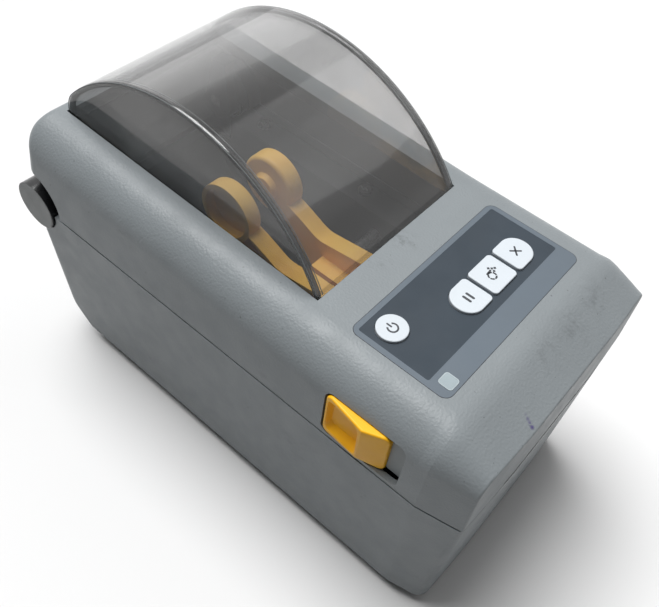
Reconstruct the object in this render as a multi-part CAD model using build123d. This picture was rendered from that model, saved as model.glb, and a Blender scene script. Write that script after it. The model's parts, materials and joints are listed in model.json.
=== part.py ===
"""Desktop label printer: a base with the roll bay and print drive, and a hinged cover with the head."""

import math
import os

from build123d import *

# Driving dimensions, in millimetres. +X is the printer's right side seen from the front, the front
# faces -Y, +Z is up, and the origin is on the desk under the middle of the whole body.
LENGTH = 219.0
HALF_WIDTH = 57.3
NOSE_HALF_WIDTH = 54.0
BASE_FLOOR_HALF_WIDTH = 54.3
WALL = 2.2
FOOT_HEIGHT = 3.0
FOOT_RADIUS = 6.0
FOOT_RECESS = 0.8
PARTING = 78.7
PARTING_GAP = 0.8
DECK_TOP = 113.9
DECK_RISE = 0.0285
SHOULDER_RADIUS = 15.0
NOSE_SHOULDER_RADIUS = 7.0
CREASE_Y = -92.0
CREASE_BLEND = 8.0
CREASE_STEPS = 8
NOSE_TOP = 106.4
KINK_RADIUS = 8.0
REAR_CORNER = 10.0
FRONT_CORNER = 2.0
FRONT_BOW = 0.037
BOW_HALF = 27.0
NOSE_END = -LENGTH / 2 + FRONT_BOW * (NOSE_HALF_WIDTH - BOW_HALF)
BASE_TOP = PARTING - PARTING_GAP / 2
COVER_BOTTOM = PARTING + PARTING_GAP / 2

# The hinge across the back
HINGE_Y = 99.1
HINGE_Z = 77.8
BARREL_RADIUS = LENGTH / 2 - HINGE_Y
BARREL_INNER = 50.0
CAP_OUTER = 58.2
CAP_THICKNESS = 0.9
CAP_RADIUS = 10.0
CHEEK_OUTER = 55.8
HINGE_PIN_RADIUS = 3.0
HINGE_PIN_INNER = 42.4
HINGE_PIN_OUTER = 56.2
NOTCH_Y = 99.5
NOTCH_Z = 81.0
NOTCH_RADIUS = 15.0
LINER_THICKNESS = 0.5
KNUCKLE_RADIUS = 9.2
KNUCKLE_INNER = 42.2
KNUCKLE_OUTER = 49.4
SKIRT_RADIUS = 9.6
BACK_WALL_TOP = 68.0

# The see-through window over the roll
WINDOW_HALF_FOOT = 38.7
WINDOW_DRAFT = 0.06
WINDOW_FRONT = -31.4
WINDOW_REAR = 93.7
WINDOW_ARC_Y = 34.4
WINDOW_ARC_Z = 73.1
WINDOW_ARC_RADIUS = 77.5
WINDOW_HEEL_RADIUS = 12.0
WINDOW_WALL = 2.0
WINDOW_FLANGE = 1.5

# The control panel on the front deck
PANEL_HALF = 41.0
PANEL_REAR = -46.2
PANEL_FRONT = -84.6
PANEL_CORNER = 3.4
PANEL_DEPTH = 0.9
INLAY_HALF = 38.8
INLAY_REAR = -48.3
INLAY_FRONT = -76.0
INLAY_DEPTH = 0.3
TILE_X = -34.6
TILE_Y = -80.6
TILE_SIZE = 5.4
POWER_KEY_X = -31.1
POWER_KEY_Y = -56.0
POWER_KEY_RADIUS = 5.5
KEY_REAR = -60.3
KEY_FRONT = -72.7
PAUSE_KEY = (-9.8, 2.9)
FEED_KEY = (4.4, 18.2)
CANCEL_KEY = (19.7, 32.5)
KEY_PROUD = 1.0
KEY_CORNER = 1.6
KEY_ROUND = 6.0
KEY_BOTTOM = 110.4
KEY_FLANGE = 0.8
KEY_TRAVEL = 0.8
KEYS = ("power", "pause", "feed", "cancel")

# The print drive behind the label slot
SLOT_HALF = 31.5
SLOT_TOP = 81.4
PLATEN_Y = -97.0
PLATEN_Z = 71.5
PLATEN_RADIUS = 6.5
PLATEN_HALF = 30.5
SHAFT_RADIUS = 3.0
BUSHING_RADIUS = 5.0
BUSHING_X0 = 33.5
BUSHING_X1 = 37.5
GEAR_MODULE = 0.8
PLATEN_TEETH = 18
IDLER_TEETH = 30
MOTOR_TEETH = 12
GEAR_X0 = 44.4
GEAR_X1 = 48.4
GEAR_PLATE_X0 = 42.2
GEAR_PLATE_X1 = 43.4
IDLER_BEARING = -27.0
MOTOR_BEARING = -50.0
MOTOR_CAN_RADIUS = 17.5
MOTOR_CAN_X0 = 22.0
MOTOR_SHAFT_RADIUS = 1.5
IDLER_STUD_RADIUS = 2.5

# The roll bay and its two sliding holders
BAY_HALF = 39.0
ROLL_Y = 34.5
ROLL_Z = 83.5
TROUGH_RADIUS = 65.5
TROUGH_WALL = 2.0
HOLDER_DRUM_Z = 89.5
HOLDER_DRUM_RADIUS = 13.0
HOLDER_INNER = 8.0
HOLDER_OUTER = 15.5
HOLDER_RIM = 2.2
HOLDER_WEB = 3.0
CARRIAGE_INNER = 1.0
CARRIAGE_OUTER = 16.0
CARRIAGE_Z0 = 59.0
CARRIAGE_Z1 = 72.0
RAIL_RADIUS = 2.5
RAIL_Z = 66.0
RAIL_YS = (-22.0, -2.0)
PINION_TEETH = 16
PINION_MODULE = 1.0
PINION_Y = -12.0
PINION_STUD_RADIUS = 2.0
RACK_Z0 = 55.0
RACK_Z1 = 58.6
RACK_BACK = 3.0
RACK_REACH = 27.0
SPRING_Z = 66.5
SPRING_RADIUS = 2.2
SPRING_WIRE = 0.6

# The release latch, one grip in each side of the cover
LATCH_REAR = -52.7
LATCH_FRONT = -77.6
LATCH_LOW = 81.2
LATCH_HIGH = 102.2
LATCH_CORNER = 2.6
LATCH_RIDGE_HIGH = (60.3, -69.0)
LATCH_RIDGE_LOW = (58.3, -67.9)
LATCH_FRONT_HIGH = 56.7
LATCH_FRONT_LOW = 55.6
LATCH_OPENING_FRONT = -84.0
LATCH_PLATE_INNER = 50.7
LATCH_PLATE_OUTER = 53.1
LATCH_SHIELD_OUTER = 54.7
POCKET_FLOOR = 55.4
POCKET_MOUTH = 62.0
LATCH_BAR_Y = -54.0
LATCH_BAR_Z = 102.0
LATCH_BAR_RADIUS = 2.0
CATCH_PIN_Y = -66.0
CATCH_PIN_Z = 71.0
CATCH_PIN_RADIUS = 2.0

# The printhead and the frame that carries it under the cover
HEAD_HALF = 29.0
HEAD_PIVOT_Y = -66.0
HEAD_PIVOT_Z = 90.0
HEAD_PIN_RADIUS = 2.0
HEAD_GAP = 0.35
FRAME_Z0 = 97.0
FRAME_Z1 = 99.5
FRAME_HALF = 46.0
BOARD_Z0 = 106.6
BOARD_Z1 = 108.2

# The print deck, the boards and the fasteners inside the base
DECK_Z0 = 74.0
DECK_Z1 = 76.5
DECK_REAR = -32.8
DECK_FRONT = -104.6
SENSOR_Y = -62.0
BOARD_SEAT = 7.0
BOARD_THICKNESS = 1.6
SOCKET_BOARD_Y0 = 91.0
SOCKET_FACE = 103.4
SOCKET_Z = 33.6
INLET_X = 22.0
INLET_RADIUS = 5.0
INLET_BORE = 3.2
USB_HALF = 6.0
BLANK_X0 = -36.0
BLANK_X1 = -14.0
DECK_SCREWS = [(-46.0, -88.0), (-46.0, -38.0), (50.0, -54.0), (50.0, -38.0)]
BAY_SCREWS = [(-46.5, 12.0), (-46.5, 72.0), (46.5, 12.0), (46.5, 72.0)]
BOARD_SCREWS = [(-38.0, -22.0), (38.0, -22.0), (-38.0, 50.0), (38.0, 50.0)]
PANEL_SCREWS = [(-36.5, -79.0), (36.5, -79.0), (36.5, -53.0), (-17.0, -53.0)]
FEET = [(-38.0, -82.0), (38.0, -82.0), (-38.0, 62.0), (38.0, 62.0)]
SCREW_RADIUS = 1.5
SCREW_HEAD_RADIUS = 2.8
SCREW_HEAD_HEIGHT = 1.6

# Clearances and tooth form
RUNNING = 0.05
SLIP = 0.2
BACKLASH = 0.12
PRESSURE_ANGLE = math.radians(20)
ADDENDUM = 0.8
DEDENDUM = 1.1

# Limits that cut planes and blocks run out to, well outside the body
FAR = 130.0


# Shape helpers

def outline(corners):
    """A closed flat outline through (u, v, radius) corners, each rounded to its own radius."""
    turns = []
    for index, (u, v, radius) in enumerate(corners):
        here = Vector(u, v)
        if radius == 0:
            turns.append((here, None, here))
            continue
        back = (Vector(*corners[index - 1][:2]) - here).normalized()
        ahead = (Vector(*corners[(index + 1) % len(corners)][:2]) - here).normalized()
        half_angle = math.acos(max(-1.0, min(1.0, back.dot(ahead)))) / 2
        reach = radius / math.tan(half_angle)
        inward = (back + ahead).normalized()
        middle = here + inward * (radius / math.sin(half_angle) - radius)
        turns.append((here + back * reach, middle, here + ahead * reach))
    edges = []
    for index, (start, middle, finish) in enumerate(turns):
        last = turns[index - 1][2]
        if (start - last).length > 1e-5:
            edges.append(Line(last, start))
        if middle is not None:
            edges.append(ThreePointArc(start, middle, finish))
    return make_face(edges)


def rounded_rectangle(u0, u1, v0, v1, radius):
    """A rectangle between two corners with rounded corners."""
    return outline([(u0, v0, radius), (u1, v0, radius), (u1, v1, radius), (u0, v1, radius)])


def along_x(sketch, x0, x1):
    """Extrude a (Y, Z) outline from x0 to x1."""
    return extrude(Plane.YZ.offset(x0) * sketch, amount=x1 - x0)


def along_y(sketch, y0, y1):
    """Extrude an (X, Z) outline from y0 to y1."""
    return extrude(Plane.XZ.offset(-y1) * sketch, amount=y1 - y0)


def along_z(sketch, z0, z1):
    """Extrude an (X, Y) outline from z0 to z1."""
    return extrude(Plane.XY.offset(z0) * sketch, amount=z1 - z0)


def block(x0, x1, y0, y1, z0, z1):
    """A box between two corners."""
    centre = ((x0 + x1) / 2, (y0 + y1) / 2, (z0 + z1) / 2)
    return Pos(*centre) * Box(x1 - x0, y1 - y0, z1 - z0)


def rod_x(x0, x1, y, z, radius):
    """A round bar along X."""
    return Pos((x0 + x1) / 2, y, z) * Rot(0, 90, 0) * Cylinder(radius, x1 - x0)


def rod_y(y0, y1, x, z, radius):
    """A round bar along Y."""
    return Pos(x, (y0 + y1) / 2, z) * Rot(90, 0, 0) * Cylinder(radius, y1 - y0)


def rod_z(z0, z1, x, y, radius):
    """A round bar along Z."""
    return Pos(x, y, (z0 + z1) / 2) * Cylinder(radius, z1 - z0)


def mirrored(shape):
    """The same piece on the other side of the printer."""
    return mirror(shape, Plane.YZ)


def both_sides(shape):
    """A piece and its mirror image, as separate solids."""
    return [shape, mirrored(shape)]


def deck_height(y):
    """Height of the cover's rising top surface beside and behind the window."""
    return DECK_TOP + DECK_RISE * (y - WINDOW_FRONT)


def deck_slab(half, y0, y1, depth_top, depth_bottom):
    """A slab under the rising top surface, between two depths below it."""
    low = deck_height(y0)
    high = deck_height(y1)
    return along_x(outline([(y0, low - depth_bottom, 0), (y1, high - depth_bottom, 0),
                            (y1, high - depth_top, 0), (y0, low - depth_top, 0)]), -half, half)


# Outer forms of the two casings

def plan(half, nose, rear, front_shift, rear_corner, front_corner):
    """The body's plan: straight sides, a nose of its own width, and a slightly bowed front."""
    front = -LENGTH / 2 + front_shift
    right = [(half, rear, rear_corner), (half, CREASE_Y, KINK_RADIUS),
             (nose, front + FRONT_BOW * (nose - BOW_HALF), front_corner), (BOW_HALF, front, 30.0)]
    left = [(-x, y, radius) for x, y, radius in reversed(right)]
    return outline(right + left)


def base_form(inset, top):
    """The base's outer form drawn in by inset: drafted sides and a leaning, bevelled back."""
    narrowing = HALF_WIDTH - NOSE_HALF_WIDTH
    foot_half = BASE_FLOOR_HALF_WIDTH - inset
    low = plan(foot_half, foot_half - narrowing, 100.0 - inset, 2.0 + inset, REAR_CORNER - inset,
               FRONT_CORNER + 4.0)
    high = plan(HALF_WIDTH - inset, NOSE_HALF_WIDTH - inset, 107.6 - inset, inset,
                REAR_CORNER - inset, FRONT_CORNER)
    floor = FOOT_HEIGHT + inset
    form = loft([Plane.XY.offset(floor) * low, Plane.XY.offset(PARTING) * high], ruled=True)
    bevel = outline([(101.8 - inset, 27, 0), (FAR, 27, 0), (FAR, -10, 0), (70, -10, 0),
                     (80.0 - inset, floor, 0)])
    form -= along_x(bevel, -FAR, FAR)
    return form & block(-FAR, FAR, -FAR, FAR, -5, top)


def cover_section(ahead, inset, low):
    """The cover's cross section at a distance ahead of the line where the nose starts to bend."""
    blend_half = CREASE_BLEND / 2
    reach = CREASE_Y - NOSE_END
    slope = (DECK_TOP - NOSE_TOP) / reach
    beyond = max(0.0, ahead - blend_half)
    drop = slope * (ahead - blend_half)
    if ahead < CREASE_BLEND:
        drop = slope * ahead ** 2 / (2 * CREASE_BLEND)
    half = HALF_WIDTH - inset - (HALF_WIDTH - NOSE_HALF_WIDTH) * beyond / reach
    top = DECK_TOP - inset - drop
    change = (SHOULDER_RADIUS - NOSE_SHOULDER_RADIUS) * ahead / (reach + blend_half)
    radius = SHOULDER_RADIUS - inset - change
    return outline([(half, low, 0), (half - 0.4, top, radius), (0.4 - half, top, radius),
                    (-half, low, 0)])


def cover_form(inset, bottom):
    """The cover's outer form drawn in by inset, cut off level at the height bottom."""
    half = HALF_WIDTH - inset
    low = bottom - 12
    start = CREASE_Y + CREASE_BLEND / 2
    section = cover_section(0, inset, low)
    form = along_y(section, start, WINDOW_FRONT)
    form += extrude(Plane.XZ.offset(-WINDOW_FRONT) * section, amount=150,
                    dir=(0, 1, DECK_RISE))
    steps = [CREASE_BLEND * step / CREASE_STEPS for step in range(CREASE_STEPS + 1)]
    form += loft([Plane.XZ.offset(ahead - start) * cover_section(ahead, inset, low)
                  for ahead in steps + [25.0]], ruled=True)
    foot = plan(half, half + 4, 108.0 - inset, inset, REAR_CORNER - inset, FRONT_CORNER)
    head = plan(half, half + 4, 97.6 - inset, 0.8 + inset, REAR_CORNER - inset, FRONT_CORNER)
    form = form & loft([Plane.XY.offset(PARTING) * foot, Plane.XY.offset(126) * head], ruled=True)
    return form & block(-FAR, FAR, -FAR, FAR, bottom, FAR)


# Gears, springs and screws

def gear_radius(teeth, module=GEAR_MODULE):
    """Pitch radius of a gear."""
    return module * teeth / 2


def gear_outline(teeth, module, centre, first_tooth):
    """Involute spur gear outline, with one tooth centred at the angle first_tooth in degrees."""
    pitch = gear_radius(teeth, module)
    base = pitch * math.cos(PRESSURE_ANGLE)
    tip = pitch + ADDENDUM * module
    root = pitch - DEDENDUM * module
    involute = math.tan(PRESSURE_ANGLE) - PRESSURE_ANGLE
    half_at_pitch = math.pi / (2 * teeth) - BACKLASH / (2 * pitch)
    start = max(base, root)
    flank = [(root, half_at_pitch + involute)] if root < base else []
    steps = 4
    for step in range(steps + 1):
        radius = start + (tip - start) * step / steps
        lean = math.acos(min(1.0, base / radius))
        flank.append((radius, half_at_pitch + involute - (math.tan(lean) - lean)))
    corners = []
    for tooth in range(teeth):
        middle = math.radians(first_tooth) + 2 * math.pi * tooth / teeth
        polar = [(radius, middle - half) for radius, half in flank]
        polar += [(radius, middle + half) for radius, half in reversed(flank)]
        corners += [(centre[0] + radius * math.cos(angle), centre[1] + radius * math.sin(angle), 0)
                    for radius, angle in polar]
    return outline(corners)


def meshing_tooth(teeth, first_tooth, bearing, other_teeth):
    """First-tooth angle of the gear that meshes with another one lying at an angle from it."""
    offset = (first_tooth - bearing) % (360 / teeth)
    return bearing + 180 - offset * teeth / other_teeth + 180 / other_teeth


def rack_outline(x0, x1, pitch_y, side):
    """Straight rack along X with a tooth centred at x = 0 and its teeth pointing to side."""
    pitch = math.pi * PINION_MODULE
    crest = pitch_y + side * ADDENDUM * PINION_MODULE
    root = pitch_y - side * DEDENDUM * PINION_MODULE
    back = root - side * RACK_BACK
    half = pitch / 4 - BACKLASH / 2
    wide = half + DEDENDUM * PINION_MODULE * math.tan(PRESSURE_ANGLE)
    narrow = half - ADDENDUM * PINION_MODULE * math.tan(PRESSURE_ANGLE)
    corners = [(x0, back, 0), (x0, root, 0)]
    for tooth in range(math.ceil((x0 + wide) / pitch), math.floor((x1 - wide) / pitch) + 1):
        middle = tooth * pitch
        corners += [(middle - wide, root, 0), (middle - narrow, crest, 0),
                    (middle + narrow, crest, 0), (middle + wide, root, 0)]
    corners += [(x1, root, 0), (x1, back, 0)]
    return outline(corners)


def coil_spring(radius, wire, length, turns):
    """A coil spring standing on the origin along +Z."""
    height = length - wire
    path = Helix(pitch=height / turns, height=height, radius=radius)
    start = Plane(origin=path @ 0, z_dir=path % 0)
    return Pos(0, 0, wire / 2) * sweep(start * Circle(wire / 2), path=path)


def screw(x, y, seat, depth, size=1.0):
    """A pan-head screw with a cross recess, its head sitting on the height seat."""
    head = SCREW_HEAD_RADIUS * size
    top = seat + SCREW_HEAD_HEIGHT * size
    shape = rod_z(seat, top, x, y, head) + rod_z(seat - depth, seat, x, y, SCREW_RADIUS * size)
    reach = head * 0.6
    slot = head * 0.16
    shape -= block(x - reach, x + reach, y - slot, y + slot, top - 0.8 * size, top + 1)
    shape -= block(x - slot, x + slot, y - reach, y + reach, top - 0.8 * size, top + 1)
    return shape


# The base

def hinge_cheek():
    """The right cheek inside the housing's rear corner, hollowed to seat the hinge barrel."""
    cheek = outline([(90.0, 56, 0), (103.0, 56, 0), (105.2, 70, 0), (105.2, HINGE_Z, 0),
                     (87.5, HINGE_Z, 0)])
    seat = rod_x(BARREL_INNER - 1, FAR, HINGE_Y, HINGE_Z, BARREL_RADIUS)
    return along_x(cheek, BARREL_INNER, CHEEK_OUTER) - seat


def hinge_barrels():
    """The two black barrels that hold the hinge pins, each with a seat for its end cap."""
    barrel = rod_x(BARREL_INNER, CAP_OUTER, HINGE_Y, HINGE_Z, BARREL_RADIUS)
    barrel -= rod_x(CAP_OUTER - CAP_THICKNESS, FAR, HINGE_Y, HINGE_Z, CAP_RADIUS)
    barrel -= rod_x(BARREL_INNER - 1, HINGE_PIN_OUTER, HINGE_Y, HINGE_Z, HINGE_PIN_RADIUS)
    return both_sides(barrel)


def hinge_caps():
    """The gray discs that close the hinge barrels."""
    return both_sides(rod_x(CAP_OUTER - CAP_THICKNESS, CAP_OUTER + 0.1, HINGE_Y, HINGE_Z,
                            CAP_RADIUS))


def hinge_liners():
    """The thin black discs in the cover's notches that the barrels turn against."""
    inner = KNUCKLE_OUTER
    liner = rod_x(inner, inner + LINER_THICKNESS, NOTCH_Y, NOTCH_Z, NOTCH_RADIUS)
    liner -= rod_x(40, 60, HINGE_Y, HINGE_Z, HINGE_PIN_RADIUS + RUNNING)
    return both_sides(liner & cover_form(0.3, COVER_BOTTOM))


def housing_posts():
    """Screw posts for the deck, the bay, the main board and the socket board."""
    posts = [rod_z(FOOT_HEIGHT + 1, DECK_Z0, x, y, 3.3) for x, y in DECK_SCREWS + BAY_SCREWS]
    posts += [rod_z(FOOT_HEIGHT + 1, BOARD_SEAT, x, y, 3.0) for x, y in BOARD_SCREWS]
    posts += [rod_y(SOCKET_BOARD_Y0 + BOARD_THICKNESS, 102, x, SOCKET_Z, 2.5)
              for x in (-40.0, 34.0)]
    return posts


def base_housing():
    """The lower casing: a tub with the hinge cheeks, screw posts, foot recesses and socket holes."""
    form = base_form(0, BASE_TOP)
    floor_edges = [edge for edge in form.edges()
                   if edge.bounding_box().max.Z < FOOT_HEIGHT + 0.01]
    shell = fillet(floor_edges, 6.0) - base_form(WALL, PARTING)
    # The back is low between the barrels, where the cover's hinge skirt turns
    clear = BARREL_INNER - SLIP
    shell -= block(-clear, clear, 87.0, FAR, BACK_WALL_TOP, 90)
    round_barrel = rod_x(clear, FAR, HINGE_Y, HINGE_Z, BARREL_RADIUS + 0.6)
    inside = base_form(WALL / 2, PARTING)
    cheek = hinge_cheek() & inside
    shell -= round_barrel
    shell -= mirrored(round_barrel)
    shell += cheek
    shell += mirrored(cheek)
    for post in housing_posts():
        shell += post & inside
    for x, y in DECK_SCREWS + BAY_SCREWS:
        shell -= rod_z(DECK_Z0 - 10, DECK_Z0 + 1, x, y, SCREW_RADIUS)
    for x, y in BOARD_SCREWS:
        shell -= rod_z(BOARD_SEAT - 2.6, BOARD_SEAT + 1, x, y, SCREW_RADIUS)
    for x, y in FEET:
        shell -= rod_z(0, FOOT_HEIGHT + FOOT_RECESS, x, y, FOOT_RADIUS + 0.1)
    shell -= block(-USB_HALF - SLIP, USB_HALF + SLIP, 95, FAR, SOCKET_Z - 5.8, SOCKET_Z + 5.8)
    shell -= rod_y(95, FAR, INLET_X, SOCKET_Z, INLET_RADIUS + SLIP)
    shell -= block(BLANK_X0, BLANK_X1, 95, FAR, SOCKET_Z - 6, SOCKET_Z + 6)
    # The front wall steps down across the slot for the lip and the tear bar
    shell -= block(-32.2, 32.2, -FAR, -104, DECK_Z0, 90)
    return shell


def front_lip():
    """The lip under the label slot that the tear bar stands behind."""
    lip = block(-32.0, 32.0, -FAR, -106.8, DECK_Z0 + 0.05, BASE_TOP - 0.2)
    return lip & base_form(0, PARTING)


def tear_bar():
    """The toothed steel strip that labels are torn against."""
    half = 31.8
    pitch = 1.2
    corners = [(half, DECK_Z1, 0), (half, BASE_TOP, 0)]
    count = int(2 * half / pitch)
    for tooth in range(count):
        x = half - tooth * pitch
        corners += [(x - pitch / 2, BASE_TOP + 0.9, 0), (x - pitch, BASE_TOP, 0)]
    corners += [(-half, DECK_Z1, 0)]
    return along_y(outline(corners), -106.7, -105.5)


def rubber_feet():
    """Four round rubber feet in shallow recesses."""
    return [rod_z(0, FOOT_HEIGHT + FOOT_RECESS, x, y, FOOT_RADIUS) for x, y in FEET]


def media_bay():
    """The trough that the label roll lies in, with its side flanges and the pinion's stud."""
    bay = rod_x(-BAY_HALF - TROUGH_WALL, BAY_HALF + TROUGH_WALL, ROLL_Y, ROLL_Z,
                TROUGH_RADIUS + TROUGH_WALL)
    bay = bay & block(-60, 60, -32.6, 101, 0, DECK_Z1)
    bay += block(-52, 52, -32.6, 86, DECK_Z0, DECK_Z1)
    bay += block(-BAY_HALF, BAY_HALF, 96.0, 103.2, 62.0, 64.0)
    bay -= rod_x(-BAY_HALF, BAY_HALF, ROLL_Y, ROLL_Z, TROUGH_RADIUS)
    bay -= block(-60, 60, 86.2, FAR, 64.0, 90)
    pedestal = block(-6, 6, PINION_Y - 5, PINION_Y + 5, 30, RACK_Z0 - 0.8)
    bay += pedestal & rod_x(-BAY_HALF, BAY_HALF, ROLL_Y, ROLL_Z, TROUGH_RADIUS + 1)
    bay += rod_z(RACK_Z0 - 1, RACK_Z1, 0, PINION_Y, PINION_STUD_RADIUS)
    for y in RAIL_YS:
        bay -= rod_x(-60, 60, y, RAIL_Z, RAIL_RADIUS)
    for x, y in BAY_SCREWS:
        bay -= rod_z(DECK_Z0 - 1, DECK_Z1 + 1, x, y, SCREW_RADIUS + SLIP)
    return bay


def print_deck():
    """The flat deck in front of the bay, with the platen's cheeks and the catch-pin tabs."""
    level = block(-FAR, FAR, DECK_FRONT, DECK_REAR, DECK_Z0, DECK_Z1)
    deck = base_form(WALL + 0.3, PARTING) & level
    cheek = block(BUSHING_X0, BUSHING_X1, -103.6, -90.4, 62.0, DECK_Z0)
    inner_tab = block(48.7, 49.9, -70, -62, 66.6, DECK_Z0)
    outer_tab = block(53.5, 54.4, -70, -62, 66.6, DECK_Z0)
    for piece in (cheek, inner_tab, outer_tab):
        deck += piece
        deck += mirrored(piece)
    deck -= block(-32, 32, -FAR, -90.2, DECK_Z0 - 1, DECK_Z1 + 1)
    deck -= block(43.8, 48.6, -FAR, -66.5, DECK_Z0 - 1, DECK_Z1 + 1)
    for hook_slot in both_sides(block(49.9, 53.5, -83, -61.2, DECK_Z0 - 1, DECK_Z1 + 1)):
        deck -= hook_slot
    for pin_bore in both_sides(rod_x(48, 55, CATCH_PIN_Y, CATCH_PIN_Z, CATCH_PIN_RADIUS)):
        deck -= pin_bore
    deck -= rod_x(-BUSHING_X1 - 1, BUSHING_X1 + 1, PLATEN_Y, PLATEN_Z, BUSHING_RADIUS)
    deck -= rod_x(BUSHING_X1, GEAR_X0, PLATEN_Y, PLATEN_Z, SHAFT_RADIUS + 0.6)
    deck -= block(-29, 29, SENSOR_Y - 2 - SLIP, SENSOR_Y + 2 + SLIP, DECK_Z0 - 1, DECK_Z1 + 1)
    for x, y in DECK_SCREWS:
        deck -= rod_z(DECK_Z0 - 1, DECK_Z1 + 1, x, y, SCREW_RADIUS + SLIP)
    # Raised ribs guide the label over the deck
    for x in (-24.0, -12.0, 0.0, 12.0, 24.0):
        deck += block(x - 0.6, x + 0.6, -88, SENSOR_Y - 8, DECK_Z1, DECK_Z1 + 0.6)
        deck += block(x - 0.6, x + 0.6, SENSOR_Y + 8, -34, DECK_Z1, DECK_Z1 + 0.6)
    return deck


def sensor_slider():
    """The movable label sensor, which slides along its slot in the deck."""
    slider = block(-4, 4, SENSOR_Y - 5, SENSOR_Y + 5, DECK_Z1 + RUNNING, DECK_Z1 + 1.6)
    slider += block(-4, 4, SENSOR_Y - 2, SENSOR_Y + 2, DECK_Z0 - 1.5, DECK_Z1 + 1)
    slider += block(-4, 4, SENSOR_Y - 4, SENSOR_Y + 4, DECK_Z0 - 3, DECK_Z0 - RUNNING)
    return slider - rod_z(DECK_Z1 + 0.8, DECK_Z1 + 3, 0, SENSOR_Y, 1.2)


def platen_bushings():
    """Two plain bushings that the platen shaft turns in."""
    bushing = rod_x(BUSHING_X0, BUSHING_X1, PLATEN_Y, PLATEN_Z, BUSHING_RADIUS)
    bushing -= rod_x(0, 60, PLATEN_Y, PLATEN_Z, SHAFT_RADIUS + RUNNING)
    return both_sides(bushing)


def gear_centres():
    """Centres (Y, Z) of the platen gear, the idler and the motor pinion."""
    platen = (PLATEN_Y, PLATEN_Z)
    reach = gear_radius(PLATEN_TEETH) + gear_radius(IDLER_TEETH)
    angle = math.radians(IDLER_BEARING)
    idler = (platen[0] + reach * math.cos(angle), platen[1] + reach * math.sin(angle))
    reach = gear_radius(IDLER_TEETH) + gear_radius(MOTOR_TEETH)
    angle = math.radians(MOTOR_BEARING)
    motor = (idler[0] + reach * math.cos(angle), idler[1] + reach * math.sin(angle))
    return platen, idler, motor


PLATEN_CENTRE, IDLER_CENTRE, MOTOR_CENTRE = gear_centres()
PLATEN_TOOTH = IDLER_BEARING
IDLER_TOOTH = meshing_tooth(PLATEN_TEETH, PLATEN_TOOTH, IDLER_BEARING, IDLER_TEETH)
MOTOR_TOOTH = meshing_tooth(IDLER_TEETH, IDLER_TOOTH, MOTOR_BEARING, MOTOR_TEETH)


def gear_plate():
    """The steel plate that carries the motor and the idler's stud."""
    plate = along_x(rounded_rectangle(-103.5, -51.0, 31.5, DECK_Z0 - 0.1, 3.0),
                    GEAR_PLATE_X0, GEAR_PLATE_X1)
    plate -= rod_x(40, 45, *PLATEN_CENTRE, SHAFT_RADIUS + 0.6)
    plate -= rod_x(40, 45, *MOTOR_CENTRE, 4.0)
    plate += rod_x(GEAR_PLATE_X1 - 0.5, GEAR_X1 + 0.4, *IDLER_CENTRE, IDLER_STUD_RADIUS)
    plate += rod_x(GEAR_PLATE_X1, GEAR_X0 - 0.2, *IDLER_CENTRE, IDLER_STUD_RADIUS + 1.5)
    return plate


def platen_shaft():
    """The steel shaft of the platen."""
    return rod_x(-BUSHING_X1 - 0.6, GEAR_X1 + 0.2, PLATEN_Y, PLATEN_Z, SHAFT_RADIUS)


def platen_roller():
    """The rubber sleeve that drives the label."""
    sleeve = rod_x(-PLATEN_HALF, PLATEN_HALF, PLATEN_Y, PLATEN_Z, PLATEN_RADIUS)
    return sleeve - rod_x(-60, 60, PLATEN_Y, PLATEN_Z, SHAFT_RADIUS)


def platen_gear():
    """The gear on the platen shaft."""
    gear = along_x(gear_outline(PLATEN_TEETH, GEAR_MODULE, PLATEN_CENTRE, PLATEN_TOOTH),
                   GEAR_X0, GEAR_X1)
    return gear - rod_x(40, 60, *PLATEN_CENTRE, SHAFT_RADIUS)


def idler_gear():
    """The gear between the motor and the platen, with a lightening groove."""
    gear = along_x(gear_outline(IDLER_TEETH, GEAR_MODULE, IDLER_CENTRE, IDLER_TOOTH),
                   GEAR_X0, GEAR_X1)
    groove = rod_x(GEAR_X1 - 1.2, 60, *IDLER_CENTRE, 9.5) - rod_x(40, 60, *IDLER_CENTRE, 5.0)
    return gear - groove - rod_x(40, 60, *IDLER_CENTRE, IDLER_STUD_RADIUS + RUNNING)


def motor_pinion():
    """The motor's shaft with its small gear."""
    pinion = along_x(gear_outline(MOTOR_TEETH, GEAR_MODULE, MOTOR_CENTRE, MOTOR_TOOTH),
                     GEAR_X0, GEAR_X1)
    return pinion + rod_x(MOTOR_CAN_X0 + 6, GEAR_X1, *MOTOR_CENTRE, MOTOR_SHAFT_RADIUS)


def drive_motor():
    """The stepper motor: a round can between two end caps, with its mounting ears."""
    can = rod_x(MOTOR_CAN_X0, GEAR_PLATE_X0, *MOTOR_CENTRE, MOTOR_CAN_RADIUS)
    can -= rod_x(MOTOR_CAN_X0 + 5, 60, *MOTOR_CENTRE, MOTOR_SHAFT_RADIUS + RUNNING)
    groove = rod_x(MOTOR_CAN_X0 + 9, MOTOR_CAN_X0 + 10, *MOTOR_CENTRE, MOTOR_CAN_RADIUS + 1)
    can -= groove - rod_x(0, 60, *MOTOR_CENTRE, MOTOR_CAN_RADIUS - 0.6)
    flange = block(GEAR_PLATE_X0 - 1.2, GEAR_PLATE_X0, MOTOR_CENTRE[0] - 20,
                   MOTOR_CENTRE[0] + 17.5, MOTOR_CENTRE[1] - 6, MOTOR_CENTRE[1] + 6)
    flange -= rod_x(0, 60, *MOTOR_CENTRE, MOTOR_CAN_RADIUS - 3)
    return can + flange


def main_board():
    """The main circuit board on the floor under the bay."""
    board = along_z(rounded_rectangle(-43, 43, -28, 57, 2.0), BOARD_SEAT,
                    BOARD_SEAT + BOARD_THICKNESS)
    for x, y in BOARD_SCREWS:
        board -= rod_z(0, 20, x, y, SCREW_RADIUS + SLIP)
    return board


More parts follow.
